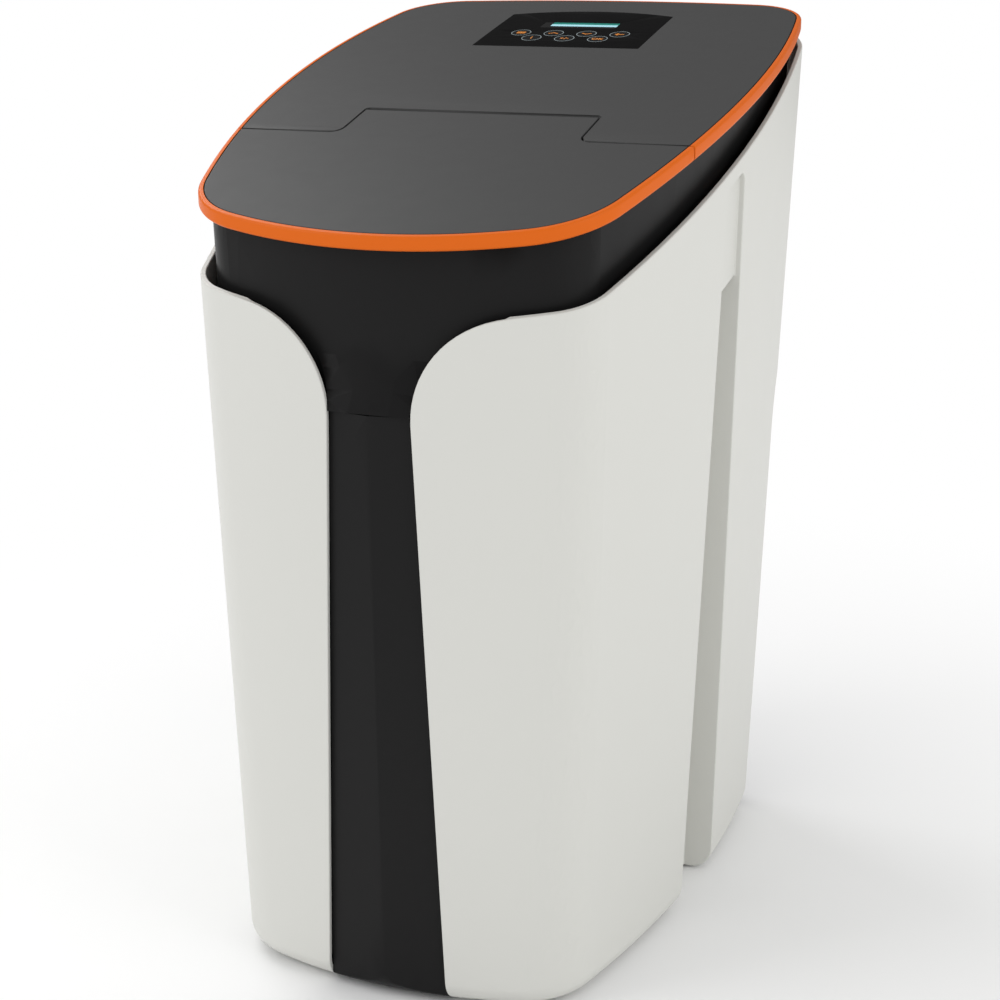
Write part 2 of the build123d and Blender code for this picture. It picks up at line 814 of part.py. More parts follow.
def switch_domes():
    dome = Cone(dome_radius, dome_radius / 2, dome_height, align=upright)
    return Compound([unit_plane(board_drop) * unit_place(x, y) * dome for x, y in key_places()])


def control_board():
    return unit_plane(board_drop) * Box(board_width, board_depth, board_thickness, align=hanging)


def control_housing():
    """Tray under the cover with four posts for the board."""
    width, depth = board_width + 2 * housing_margin, board_depth + 2 * housing_margin
    room = (width - 2 * housing_wall, depth - 2 * housing_wall, housing_depth - housing_wall)
    housing = Box(width, depth, housing_depth, align=hanging) - Box(*room, align=hanging)
    top_drop = plate_thickness + seat_gap
    post = Cylinder(housing_margin, housing_depth + top_drop - board_drop - board_thickness, align=upright)
    post_x, post_y = board_width / 2 - 2 * housing_margin, board_depth / 2 - 2 * housing_margin
    for x in (-post_x, post_x):
        for y in (-post_y, post_y):
            housing += Pos(x, y, -housing_depth) * post
    return unit_plane(top_drop) * housing


def display_module():
    """Display block on the board; its glass stands up into the cover's window opening."""
    top_drop = plate_thickness + seat_gap
    margin = 2 * housing_wall
    block = Box(window_width + 2 * margin, window_depth + 2 * margin, board_drop - top_drop, align=hanging)
    rise = top_drop - fascia_thickness - seat_gap
    glass = Box(window_width - 2 * margin, window_depth - margin, rise, align=upright)
    return unit_plane(top_drop) * unit_place(0, window_y) * (block + glass)


# Salt tank, grid, brine well and float
def before_tank_wall(inset):
    """Everything in front of the salt tank's rear wall, drawn in by inset."""
    return Pos(0, -tank_rear_y - inset, 0) * Box(wide, 2 * wide, 2 * body_top, align=(MID, Align.MAX, MID))


def tank_form(inset, bottom):
    return body_form(tank_inset + inset, bottom, 0, cabinet_corner_extra) & before_tank_wall(inset)


tank_floor = cabinet_floor + cabinet_wall


def salt_tank():
    tank = tank_form(0, tank_floor) - tank_form(tank_wall, tank_floor + tank_wall)
    tank -= lid_slab(-wide, tank_drop)
    tank -= overflow_hole(overflow_radius + running_fit)
    hose_hole = forward * round_cut(hose_radius + running_fit, tank_wall)
    return tank - Pos(-well_x, -tank_rear_y - tank_wall / 2, hose_level) * hose_hole


def salt_grid():
    """Slotted false floor on legs; the brine well passes through it."""
    inset = tank_wall + grid_gap
    below = Pos(0, 0, grid_height + grid_thickness) * Box(wide, 2 * wide, 2 * body_top, align=upright)
    grid = tank_form(inset, grid_height) - below
    grid -= Pos(-well_x, -well_y, 0) * Cylinder(well_radius + grid_gap, body_top, align=upright)
    row_pitch = slot_length + slot_pitch
    slot = Box(slot_width, slot_length, 2 * (grid_thickness + overrun))
    for row in range(slot_rows):
        y = -tank_rear_y - (row + 1) * row_pitch
        for column in range(-slot_columns_aside, slot_columns_aside + 1):
            x = column * slot_pitch
            if hypot(x + well_x, y + well_y) > well_radius + slot_length and abs(x) < grid_slot_reach:
                grid -= Pos(x, y, grid_height) * slot
    leg = Cylinder(grid_leg_radius, grid_height - tank_floor - tank_wall, align=upright)
    for x, y in grid_leg_places():
        grid += Pos(x, y, tank_floor + tank_wall) * leg
    return grid


def grid_leg_places():
    front_y_leg = -base_front + tank_inset + grid_leg_inset
    rear_y_leg = -tank_rear_y - grid_leg_inset
    return [(-slot_pitch / 2, front_y_leg), (grid_slot_reach, rear_y_leg), (grid_leg_radius, rear_y_leg),
            (grid_slot_reach, -well_y - slot_length)]


def brine_well():
    well = Cylinder(well_radius, well_height - tank_floor - tank_wall, align=upright)
    well -= Cylinder(well_radius - well_wall, well_height, align=upright)
    slot = Box(2 * (well_radius + overrun), slot_width, well_slot_height, align=upright)
    for pair in range(well_slot_pairs):
        well -= Rot(Z=180 * pair / well_slot_pairs) * Pos(0, 0, slot_width) * slot
    return Pos(-well_x, -well_y, tank_floor + tank_wall) * well


def brine_well_cap():
    """Cap over the well's rim; the float rod is held in its middle."""
    outside = well_radius + well_wall + running_fit
    cap = Cylinder(outside, well_cap_height, align=upright)
    cap -= Pos(0, 0, -well_wall) * Cylinder(well_radius + running_fit, well_cap_height, align=upright)
    cap -= Cylinder(float_rod_radius + press_gap, 2 * well_cap_height, align=upright)
    return Pos(-well_x, -well_y, well_height + well_wall - well_cap_height) * cap


def float_rod():
    """Hollow brine rod with two stops for the float and a spigot for the hose."""
    bottom = tank_floor + tank_wall + well_wall
    length = well_height + well_wall + rod_head - bottom
    rod = Cylinder(float_rod_radius, length, align=upright)
    rod += Cylinder(spigot_radius, length + spigot_length, align=upright)
    low_stop = float_low - seat_gap - stop_height
    high_stop = float_low + float_height + float_travel + seat_gap
    for z in (low_stop, high_stop):
        rod += Pos(0, 0, z - bottom) * Cylinder(2 * float_rod_radius, stop_height, align=upright)
    rod -= round_cut(spigot_bore, 2 * body_top)
    return Pos(-well_x, -well_y, bottom) * rod


def float_ball():
    ball = fillet(Cylinder(float_radius, float_height, align=upright).edges(), float_edge_radius)
    ball -= round_cut(float_rod_radius + float_fit, 2 * float_height)
    return Pos(-well_x, -well_y, float_low) * ball


# Overflow pipe
overflow_start = -tank_rear_y - tank_wall - overflow_lip
overflow_face = base_rear + (top_rear - base_rear) * overflow_z / front_height - cabinet_inset
spigot_start = overflow_face + overflow_step + overflow_groove_width


def overflow_pipe():
    """Pipe out of the tank and the rear wall, with a groove before the hose spigot."""
    straight = overflow_face + overflow_step - overflow_start
    before_spigot = spigot_start - overflow_start
    pipe = Cylinder(overflow_radius, straight, align=upright)
    pipe += Cylinder(overflow_spigot_radius - overflow_groove, before_spigot, align=upright)
    pipe += Pos(0, 0, before_spigot) * Cylinder(overflow_spigot_radius, overflow_spigot, align=upright)
    pipe -= round_cut(overflow_bore, 2 * wide)
    return Pos(overflow_x, overflow_start, overflow_z) * rearward * pipe


# Resin bottle
def bottle_form(inset, neck):
    """Solid of the bottle: bottom dome, wall, shoulder dome and neck, drawn in by inset."""
    radius = bottle_radius - inset
    dome = bottle_dome - inset
    low = bottle_bottom + bottle_dome
    turn = acos((neck_radius - inset) / radius)
    lower = EllipticalCenterArc((0, low), radius, dome, start_angle=-90, arc_size=90)
    wall = Line((radius, low), (radius, bottle_shoulder))
    upper = EllipticalCenterArc((0, bottle_shoulder), radius, dome, start_angle=0, arc_size=degrees(turn))
    top = bottle_shoulder + dome * sin(turn) + neck
    closing = Polyline(upper @ 1, (neck_radius - inset, top), (0, top), (0, low - dome))
    return revolve(Plane.XZ * make_face(lower + wall + upper + closing), Axis.Z)


def resin_bottle():
    bottle = bottle_form(0, neck_height) - bottle_form(bottle_wall, neck_height + 2 * bottle_wall)
    return Pos(0, bottle_y, 0) * bottle


def bottle_foot():
    """Skirt with a dished seat that the bottle's lower dome stands in."""
    dome = bottle_form(-seat_gap, neck_height)
    foot = Pos(0, 0, tank_floor) * Cylinder(bottle_radius + foot_ring_wall, foot_ring_height, align=upright)
    below = Pos(0, 0, tank_floor) * Cylinder(bottle_radius, foot_ring_height, align=upright)
    foot -= below - Pos(0, 0, -foot_ring_wall) * dome
    foot -= dome
    foot -= round_cut(bottle_radius / 2, 2 * foot_ring_height)
    return Pos(0, bottle_y, 0) * foot


def resin_bed():
    bed = bottle_form(bottle_wall + seat_gap, neck_height)
    bed -= Pos(0, 0, resin_level) * Cylinder(wide, body_top, align=upright)
    bed -= round_cut(riser_radius + seat_gap, 2 * body_top)
    return Pos(0, bottle_y, 0) * bed


def riser_tube():
    bottom = bottle_bottom + bottle_wall + riser_foot
    tube = Cylinder(riser_radius, bottle_top - bottom, align=upright)
    tube -= Pos(0, 0, riser_wall) * Cylinder(riser_radius - riser_wall, body_top, align=upright)
    return Pos(0, bottle_y, bottom) * tube


# Control valve
spigot_radius = hose_radius - hose_wall - press_gap
manifold_rear = bottle_y + manifold_depth / 2
chamber_top = manifold_top + chamber_depth
gear_bottom = chamber_top + cover_plate + gear_lift
gear_distance = gear_module * (gear_teeth + pinion_teeth) / 2


def valve_body():
    """Head on the bottle's neck, manifold with two port tubes, and the disc chamber on top."""
    head = Cylinder(head_radius, head_height, align=hanging)
    head -= Pos(0, 0, -head_seat) * Cylinder(neck_radius + running_fit, head_height, align=hanging)
    body = Pos(0, 0, head_seat) * head
    block = Box(manifold_width, manifold_depth, manifold_height, align=upright)
    block = fillet(block.edges().filter_by(Axis.Z), manifold_corner)
    block += Cylinder(chamber_radius + chamber_wall, manifold_height + chamber_depth, align=upright)
    body += Pos(0, 0, head_seat) * block
    body = Pos(0, bottle_y, manifold_bottom - head_seat) * body
    length = niche_y - port_flange - manifold_rear + overrun
    for side in (-1, 1):
        port = Pos(side * port_x, manifold_rear - overrun, port_z) * rearward
        body += port * Cylinder(port_tube_radius, length, align=upright)
        bore = Cylinder(port_bore, length + overrun + port_radius, align=upright)
        body -= port * Pos(0, 0, -port_radius) * bore
    body -= Pos(0, bottle_y, manifold_top) * Cylinder(chamber_radius, chamber_depth + overrun, align=upright)
    knob_at = Pos(knob_x, bottle_y, manifold_top)
    body -= knob_at * Cylinder(shaft_radius + running_fit, 2 * knob_height)
    for place in (injector_place(), drain_place()):
        body -= place * Cylinder(barb_bore, manifold_depth / 2)
    return body


def injector_place():
    return Pos(-injector_x, bottle_y - manifold_depth / 2, hose_level) * forward


def drain_place():
    return Pos(0, manifold_rear, drain_z) * rearward


def valve_cover():
    """Plate that closes the disc chamber and carries the motor's two posts."""
    plate = Cylinder(chamber_radius + chamber_wall, cover_plate, align=upright)
    arm_length = gear_distance + post_radius
    plate += Box(arm_length, 2 * (post_reach + post_radius), cover_plate, align=(Align.MAX, MID, MIN))
    post = Cylinder(post_radius, 2 * gear_lift + gear_width, align=upright)
    for y in (-post_reach, post_reach):
        plate += Pos(-gear_distance, y, cover_plate) * post
    plate -= round_cut(shaft_radius + running_fit, cover_plate)
    plate -= Pos(-gear_distance, 0, 0) * round_cut(pinion_shaft_radius + running_fit, cover_plate)
    return Pos(0, bottle_y, chamber_top) * plate


def valve_disc():
    """Ported disc on its shaft."""
    disc = Cylinder(chamber_radius - disc_gap, disc_thickness, align=upright)
    for port in range(disc_ports):
        place = Rot(Z=360 * port / disc_ports) * Pos(chamber_radius / 2, 0, 0)
        disc -= place * round_cut(disc_port_radius, disc_thickness)
    shaft_top = chamber_depth + cover_plate + gear_lift + gear_width
    shaft = Cylinder(shaft_radius, shaft_top - disc_gap, align=upright)
    return Pos(0, bottle_y, manifold_top + disc_gap) * (disc + shaft)


def involute_gear(teeth, turn):
    """Gear outline with involute flanks, turned so that its teeth mesh."""
    pitch_radius = gear_module * teeth / 2
    base_radius = pitch_radius * cos(radians(pressure_angle))
    tip_radius = pitch_radius + gear_module * addendum_share
    root_radius = pitch_radius - gear_module * dedendum_share
    half_pitch = pi / (2 * teeth) - tooth_backlash / (4 * pitch_radius)

    def roll(angle):
        return tan(angle) - angle

    def half_tooth(radius):
        return half_pitch + roll(radians(pressure_angle)) - roll(acos(min(1, base_radius / radius)))

    start = max(base_radius, root_radius)
    radii = [start + (tip_radius - start) * step / flank_steps for step in range(flank_steps + 1)]
    points = []
    for tooth in range(teeth):
        middle = turn + 2 * pi * tooth / teeth
        flank = [(root_radius, half_tooth(start))] + [(r, half_tooth(r)) for r in radii]
        for radius, half in flank:
            points.append((radius * cos(middle - half), radius * sin(middle - half)))
        for radius, half in reversed(flank):
            points.append((radius * cos(middle + half), radius * sin(middle + half)))
    return make_face(Polyline(*points, close=True))


def drive_gear():
    gear = extrude(involute_gear(gear_teeth, 0), gear_width)
    gear -= round_cut(shaft_radius + press_gap, 2 * gear_width)
    rim = gear_module * gear_teeth / 2 - gear_rim
    web = Cylinder(rim, gear_width, align=upright) - Cylinder(gear_hub_radius, gear_width, align=upright)
    gear -= Pos(0, 0, gear_width / 2 + gear_web / 2) * web
    return Pos(0, bottle_y, gear_bottom) * gear


def drive_pinion():
    pinion = extrude(involute_gear(pinion_teeth, pi / pinion_teeth), gear_width)
    below = cover_plate / 2 + gear_lift
    shaft = Cylinder(pinion_shaft_radius, below + gear_width + gear_lift + motor_shaft_reach, align=upright)
    pinion += Pos(0, 0, -below) * shaft
    return Pos(-gear_distance, bottle_y, gear_bottom) * pinion


def drive_motor():
    """Gearmotor can with two ears seated on the cover's posts."""
    ears = Box(2 * post_radius, 2 * post_reach, motor_flange, align=upright)
    motor = ears + Cylinder(motor_radius, motor_height, align=upright)
    for y in (-post_reach, post_reach):
        motor += Pos(0, y, 0) * Cylinder(post_radius, motor_flange, align=upright)
    motor = motor - Cylinder(pinion_shaft_radius + running_fit, 2 * (motor_shaft_reach + seat_gap))
    return Pos(-gear_distance, bottle_y, gear_bottom + gear_width + gear_lift) * motor


def blending_knob():
    """Ribbed knob with its stem in the manifold."""
    knob = Cylinder(knob_radius, knob_height, align=upright)
    knob = fillet(knob.edges().sort_by(Axis.Z)[-1], knob_edge_radius)
    groove = Pos(knob_radius + knob_groove / 2, 0, 0) * round_cut(knob_groove, 2 * knob_height)
    for rib in range(knob_ribs):
        knob -= Rot(Z=360 * rib / knob_ribs) * groove
    knob += Pos(0, 0, knob_height) * Box(knob_radius, knob_groove, knob_groove, align=(MIN, MID, MIN))
    knob += Pos(0, 0, -knob_height / 2) * Cylinder(shaft_radius, knob_height, align=upright)
    return Pos(knob_x, bottle_y, manifold_top + seat_gap) * knob


# Flow turbine in the inlet port
turbine_y = (manifold_rear + niche_y) / 2


def along_port(shape):
    return Pos(-port_x, turbine_y, port_z) * rearward * shape


def flow_turbine():
    """Bladed rotor with a pin at each end."""
    rotor = Cylinder(turbine_hub, turbine_length)
    rotor += Cylinder(turbine_pin, turbine_length + 2 * turbine_pin_reach)
    reach = turbine_radius - turbine_hub / 2
    vane_length = turbine_length * cos(radians(turbine_pitch)) - turbine_blade
    vane = Rot(X=turbine_pitch) * Box(reach, turbine_blade, vane_length)
    for blade in range(turbine_blades):
        rotor += Rot(Z=360 * blade / turbine_blades) * Pos(turbine_hub / 2 + reach / 2, 0, 0) * vane
    rotor &= Cylinder(turbine_radius, 2 * turbine_length)
    return along_port(rotor)


def turbine_cage():
    """Two spoked bearings that hold the turbine's pins in the port's bore."""
    outside = port_bore - running_fit
    ring = Cylinder(outside, cage_width) - Cylinder(outside - turbine_blade, 2 * cage_width)
    hub = Cylinder(2 * turbine_pin, cage_width)
    for spoke in range(cage_spokes):
        place = Rot(Z=360 * spoke / cage_spokes) * Pos(outside / 2, 0, 0)
        hub += place * Box(outside - turbine_blade, turbine_blade, cage_width)
    bearing = ring + hub - Cylinder(turbine_pin + running_fit, 2 * cage_width)
    place = turbine_length / 2 + seat_gap + cage_width / 2
    return Compound([along_port(Pos(0, 0, side * place) * bearing) for side in (-1, 1)])


# Connections
def connection_panel():
    """Recessed panel in the rear wall, with a frame out to the wall's face."""
    tray = niche_box(0) & body_form(cabinet_inset, cabinet_floor, 0, cabinet_corner_extra)
    room = (2 * (niche_half_width - niche_wall), wide, niche_high - niche_low - 2 * niche_wall)
    tray -= Pos(0, niche_y + niche_wall, (niche_low + niche_high) / 2) * Box(*room, align=(MID, MIN, MID))
    for x in (-port_x, port_x):
        tray -= Pos(x, niche_y, port_z) * rearward * round_cut(port_seat_radius + running_fit, niche_wall)
    tray -= Pos(0, niche_y, drain_z) * rearward * round_cut(barb_radius + running_fit, niche_wall)
    return tray - Pos(power_x, niche_y, power_z) * Box(power_width, 2 * overrun, power_height)


def port_connector(side):
    """Stub with its flange behind the panel, a seat in the panel, a relief and the thread."""
    seat_end = port_flange + niche_wall
    thread_start = seat_end + port_relief
    stub = Cylinder(port_flange_radius, port_flange, align=upright)
    stub += Cylinder(port_seat_radius, seat_end, align=upright)
    stub += Cylinder(port_radius - port_thread, thread_start, align=upright)
    stub += Pos(0, 0, thread_start) * Cylinder(port_radius, port_reach - port_relief, align=upright)
    stub -= round_cut(port_bore, 2 * (seat_end + port_reach))
    return Pos(side * port_x, niche_y - port_flange, port_z) * rearward * stub


def drain_nozzle():
    """Barbed nozzle through the panel; the inner hose pushes on behind."""
    end = 2 * niche_wall + barb_reach
    nozzle = Cylinder(barb_radius + niche_wall, niche_wall, align=upright)
    nozzle += Cylinder(barb_radius, end, align=upright)
    barb = Cone(barb_radius + barb_ridge, barb_radius, barb_pitch, align=upright)
    for ring in range(barb_rings):
        nozzle += Pos(0, 0, end - (ring + 1) * barb_pitch) * barb
    nozzle -= round_cut(barb_bore, 2 * end)
    return Pos(0, niche_y - niche_wall, drain_z) * rearward * nozzle


def drain_hose():
    """Straight hose from the manifold to the nozzle."""
    length = niche_y - niche_wall - manifold_rear
    hose = Cylinder(barb_radius, length, align=upright) - round_cut(barb_bore, 2 * length)
    return drain_place() * hose


def power_inlet():
    """Socket in the panel for a mains lead: flange behind the panel and two pins in the recess."""
    before = (MID, Align.MAX, MID)
    size = (power_width - 2 * running_fit, power_depth, power_height - 2 * running_fit)
    body = Pos(0, niche_wall + power_rim, 0) * Box(*size, align=before)
    flange = (power_width + 2 * niche_wall, niche_wall, power_height + 2 * niche_wall)
    body += Box(*flange, align=before)
    wall = 2 * power_rim
    recess = Box(power_width - 2 * wall, power_depth, power_height - 2 * wall, align=(MID, MIN, MID))
    body -= Pos(0, niche_wall + power_rim - power_socket, 0) * recess
    pin = rearward * Cylinder(power_pin, power_socket + power_rim, align=upright)
    for x in (-power_pin_x, power_pin_x):
        body += Pos(x, niche_wall - power_socket, 0) * pin
    return Pos(power_x, niche_y, power_z) * body


def injector():
    """Brine injector on the manifold's front, with the hose's spigot."""
    body = Cylinder(injector_radius, injector_reach, align=upright)
    body = fillet(body.edges().sort_by(Axis.Z)[-1], injector_edge_radius)
    body += Cylinder(spigot_radius, injector_reach + spigot_length, align=upright)
    body -= round_cut(spigot_bore, 2 * (injector_reach + spigot_length))
    return injector_place() * body


def brine_hose():
    """Hose from the brine rod's head up, through the tank's rear wall and to the injector."""
    start = (-well_x, -well_y, well_height + well_wall + rod_head)
    corner = (-well_x, -well_y, hose_level)
    behind = (-well_x, hose_turn_y, hose_level)
    aside = (-injector_x, bottle_y - manifold_depth / 2 - injector_reach - hose_lead, hose_level)
    end = (-injector_x, bottle_y - manifold_depth / 2 - injector_reach, hose_level)
    path = FilletPolyline(start, corner, behind, aside, end, radius=hose_bend)
    ring = Circle(hose_radius) - Circle(hose_radius - hose_wall)
    return sweep(Plane(origin=start, z_dir=(0, 0, 1)) * ring, path)


def build_all():
    parts = side_shells()
    parts.update({
        "front_strip": front_strip(),
        "inner_cabinet": inner_cabinet(),
        "base_pan": base_pan(),
        "feet": feet(),
        "front_flap": front_flap(),
        "front_trim": front_trim(),
        "flap_seal": flap_seal(),
        "hinge_pins": hinge_pins(),
        "rear_cover": rear_cover(),
        "rear_trim": rear_trim(),
        "cover_screws": cover_screws(),
        "control_fascia": control_fascia(),
        "display_window": window_block(0, 0, fascia_thickness),
        "display_module": display_module(),
        "switch_domes": switch_domes(),
        "control_board": control_board(),
        "control_housing": control_housing(),
    })
    for name, (x, y) in zip(key_names, key_places()):
        parts[name] = key_cap(x, y)
    parts.update({
        "salt_tank": salt_tank(),
        "salt_grid": salt_grid(),
        "brine_well": brine_well(),
        "brine_well_cap": brine_well_cap(),
        "float_rod": float_rod(),
        "float": float_ball(),
        "overflow_pipe": overflow_pipe(),
        "resin_bottle": resin_bottle(),
        "bottle_foot": bottle_foot(),
        "resin_bed": resin_bed(),
        "riser_tube": riser_tube(),
        "valve_body": valve_body(),
        "valve_cover": valve_cover(),
        "valve_disc": valve_disc(),
        "drive_gear": drive_gear(),
        "drive_pinion": drive_pinion(),
        "drive_motor": drive_motor(),
        "blending_knob": blending_knob(),
        "flow_turbine": flow_turbine(),
        "turbine_cage": turbine_cage(),
        "connection_panel": connection_panel(),
        "inlet_connector": port_connector(-1),
        "outlet_connector": port_connector(1),
        "drain_nozzle": drain_nozzle(),
        "drain_hose": drain_hose(),
        "power_inlet": power_inlet(),
        "injector": injector(),
        "brine_hose": brine_hose(),
    })
    return parts


if __name__ == "__main__":
    os.makedirs("parts", exist_ok=True)
    for name, shape in build_all().items():
        export_step(shape, f"parts/{name}.step")
        print(name, len(shape.solids()), round(shape.volume))
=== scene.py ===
"""Cabinet water softener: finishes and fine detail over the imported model."""
import json
from math import asin, cos, hypot, pi, radians, sin, sqrt

import bpy
from mathutils import Matrix, Vector


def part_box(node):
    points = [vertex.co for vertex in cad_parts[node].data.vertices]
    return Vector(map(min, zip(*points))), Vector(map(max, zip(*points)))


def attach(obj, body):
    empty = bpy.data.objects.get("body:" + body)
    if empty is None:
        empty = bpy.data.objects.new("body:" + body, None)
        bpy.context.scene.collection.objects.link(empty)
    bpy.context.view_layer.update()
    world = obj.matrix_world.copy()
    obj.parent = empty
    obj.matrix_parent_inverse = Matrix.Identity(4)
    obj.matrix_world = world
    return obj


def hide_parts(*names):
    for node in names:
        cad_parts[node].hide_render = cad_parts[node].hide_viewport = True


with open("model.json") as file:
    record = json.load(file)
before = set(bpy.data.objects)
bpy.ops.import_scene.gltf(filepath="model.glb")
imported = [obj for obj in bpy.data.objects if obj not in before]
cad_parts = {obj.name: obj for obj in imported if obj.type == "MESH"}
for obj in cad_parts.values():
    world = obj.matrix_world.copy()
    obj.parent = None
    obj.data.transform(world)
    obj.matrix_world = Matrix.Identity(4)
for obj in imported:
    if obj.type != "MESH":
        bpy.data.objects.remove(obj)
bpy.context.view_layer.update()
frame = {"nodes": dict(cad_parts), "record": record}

MM = 0.001

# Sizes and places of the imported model, in metres
LID_DEPTH = 480 * MM
LID_FRONT = 539 * MM
LID_REAR = 663.3 * MM
LID_CROWN = 6.8 * MM
KEY_PITCH = 27 * MM
KEY_ROW_REAR = 140.5 * MM
KEY_ROW_FRONT = 127.1 * MM
WINDOW_MIDDLE = 163.4 * MM
WINDOW_DEPTH = 14.6 * MM
PORT_X = 40 * MM
PORT_RADIUS = 13.2 * MM
PORT_SEAT_RADIUS = 13.8 * MM
PORT_BORE = 9.5 * MM
PANEL_Y = 199 * MM
PANEL_WALL = 3 * MM
SWEEP_END_X = 91.77 * MM
SWEEP_END_Y = -226.6 * MM
SWEEP_END_Z = 488.9 * MM

# Camera of the photo: sensor in millimetres, focal length and picture side in pixels
SENSOR = 36
FOCAL_PIXELS = 2002.5
PHOTO_PIXELS = 1000
CAMERA_PLACE = (0.5348, -1.3621, 0.7199)
CAMERA_TARGET = (-0.003, 0, 0.3025)

# Strength of the white room behind the object, as a light, and what reflections lose of it
ROOM_SEEN = 1.0
ROOM_LIGHT = 0.75
GLOSS_LOSS = 0.55
WHITE = (1, 1, 1, 1)
FLOOR_SIZE = 12
FADE_START = 0.25
FADE_END = 1.1

# Soft lights: name, place, target, size, power and tint
BODY_MIDDLE = (0, 0, 0.35)
LID_MIDDLE = (0, 0, 0.6)
SOFT_LIGHTS = (
    ("left_bank", (-1.7, -1.6, 1.5), BODY_MIDDLE, (1.2, 1.6), 15, (1, 1, 1)),
    ("right_bank", (2.2, -0.6, 1.3), BODY_MIDDLE, (1.6, 1.8), 14, (1, 1, 0.99)),
    ("top_bank", (-1.1, 0.5, 1.7), LID_MIDDLE, (1.0, 1.2), 11, (1, 1, 1)),
)

# Depths of the relief in the finishes, and the width of a seam that gets painted shade, with the strength of
# that shade
GRAIN_RELIEF = 0.02 * MM
BEAD_RELIEF = 0.3 * MM
WINDING_RELIEF = 0.2 * MM
WINDING_TURN = 35
SEAM_SHADE_REACH = 1.6 * MM
SEAM_SHADE_POWER = 3.0

# Display: left end of the lit picture, and its bands from the front to the rear of the window
LIT_LEFT = -23.6 * MM
DARK_GLASS = (0.002, 0.002, 0.002, 1)
PALE_BAND = (0.36, 0.66, 0.74, 1)
DISPLAY_BANDS = ((0.28, DARK_GLASS), (0.31, PALE_BAND), (0.62, PALE_BAND),
                 (0.66, (0.008, 0.2, 0.16, 1)), (1.0, (0.004, 0.15, 0.115, 1)))

# Colour sockets of a mix node
MIX_FIRST = 6
MIX_SECOND = 7
MIX_RESULT = 2

# Edges: widths of the rounding, crease angles in degrees
WELD = 0.01 * MM
SHELL_EDGE = 1.0 * MM
PLATE_EDGE = 0.4 * MM
EDGE_STEPS = 4
FLAT_ANGLE = 0.3
CREASE = 35
CABINET_CREASE = 12.5
STRIP_CREASE = 14
STUB_CREASE = 30

# Low step in the rim of a shell: where it lies from the end of the S-curve, and its height
RIM_ASIDE = 1 * MM
RIM_UP = 2 * MM
RIM_INWARD = 5 * MM
RIM_STEP = 1.6 * MM

# Printed rings and signs of the keys, slants in degrees
STROKE = 1.1 * MM
PRINT_HEIGHT = 0.05 * MM
PRINT_LIFT = 0.01 * MM
RING_RADIUS = 7.9 * MM
RING_WIDTH = 0.6 * MM
RING_SIDES = 48
MENU_WIDTH = 7 * MM
MENU_PITCH = 1.7 * MM
CHEVRON_HALF = 3.6 * MM
CHEVRON_SLANT = 32
ARROW_HALF = 3.5 * MM
ARROW_STROKE = 3.2 * MM
ARROW_SLANT = 40
LETTER_SIZE = 6.5 * MM
INFO_SIZE = 7.5 * MM
LETTER_BOLD = 0.02
LETTER_STEPS = 3

# Thread of the stubs: the crest's start and end are shares of the pitch
THREAD_RELIEF = 3 * MM
THREAD_DEPTH = 1.1 * MM
THREAD_PITCH = 1.8 * MM
CREST_START = 0.4
CREST_END = 0.6
STUB_SIDES = 64

# Arc of the crowned lid, seen from the side
chord = hypot(LID_DEPTH, LID_REAR - LID_FRONT)
lid_radius = chord**2 / (8 * LID_CROWN) + LID_CROWN / 2
lid_drop = lid_radius - LID_CROWN
lid_centre_y = lid_drop * (LID_REAR - LID_FRONT) / chord
lid_centre_z = (LID_FRONT + LID_REAR) / 2 - lid_drop * LID_DEPTH / chord


def on_lid(x, y):
    """Matrix of a flat print that lies on the crowned lid."""
    tilt = asin((y - lid_centre_y) / lid_radius)
    turned = Matrix.Rotation(-tilt, 4, "X")
    normal = Vector((0, sin(tilt), cos(tilt)))
    height = lid_centre_z + sqrt(lid_radius**2 - (y - lid_centre_y) ** 2)
    place = Vector((x, y, height)) + normal * PRINT_LIFT
    return Matrix.Translation(place) @ turned


# Camera, lights and floor
def aim(obj, place, target):
    """Puts a camera or a light at its place, turned towards its target."""
    obj.location = place
    obj.rotation_euler = (Vector(target) - Vector(place)).to_track_quat("-Z", "Y").to_euler()


def photo_camera():
    data = bpy.data.cameras.new("photo_camera")
    data.sensor_width = SENSOR
    data.lens = SENSOR * FOCAL_PIXELS / PHOTO_PIXELS
    camera = bpy.data.objects.new("photo_camera", data)
    bpy.context.collection.objects.link(camera)
    aim(camera, CAMERA_PLACE, CAMERA_TARGET)
    bpy.context.scene.camera = camera


def soft_light(name, place, target, size, power, tint):
    data = bpy.data.lights.new(name, "AREA")
    data.shape = "RECTANGLE"
    data.size, data.size_y = size
    data.energy = power
    data.color = tint
    light = bpy.data.objects.new(name, data)
    bpy.context.collection.objects.link(light)
    aim(light, place, target)


def white_room():
    """World that is plain white to the camera, weaker as a light and dim in reflections."""
    world = bpy.data.worlds.new("pale_studio")
    bpy.context.scene.world = world
    world.use_nodes = True
    tree = world.node_tree
    background = tree.nodes["Background"]
    background.inputs["Color"].default_value = WHITE
    ray = tree.nodes.new("ShaderNodeLightPath")
    strength = add_node(tree, "ShaderNodeMapRange", **{"To Min": ROOM_LIGHT, "To Max": ROOM_SEEN})
    dimmed = add_node(tree, "ShaderNodeMath", operation="MULTIPLY_ADD")
    dimmed.inputs[1].default_value = -GLOSS_LOSS
    tree.links.new(ray.outputs["Is Camera Ray"], strength.inputs["Value"])
    tree.links.new(ray.outputs["Is Glossy Ray"], dimmed.inputs[0])
    tree.links.new(strength.outputs["Result"], dimmed.inputs[2])
    tree.links.new(dimmed.outputs["Value"], background.inputs["Strength"])


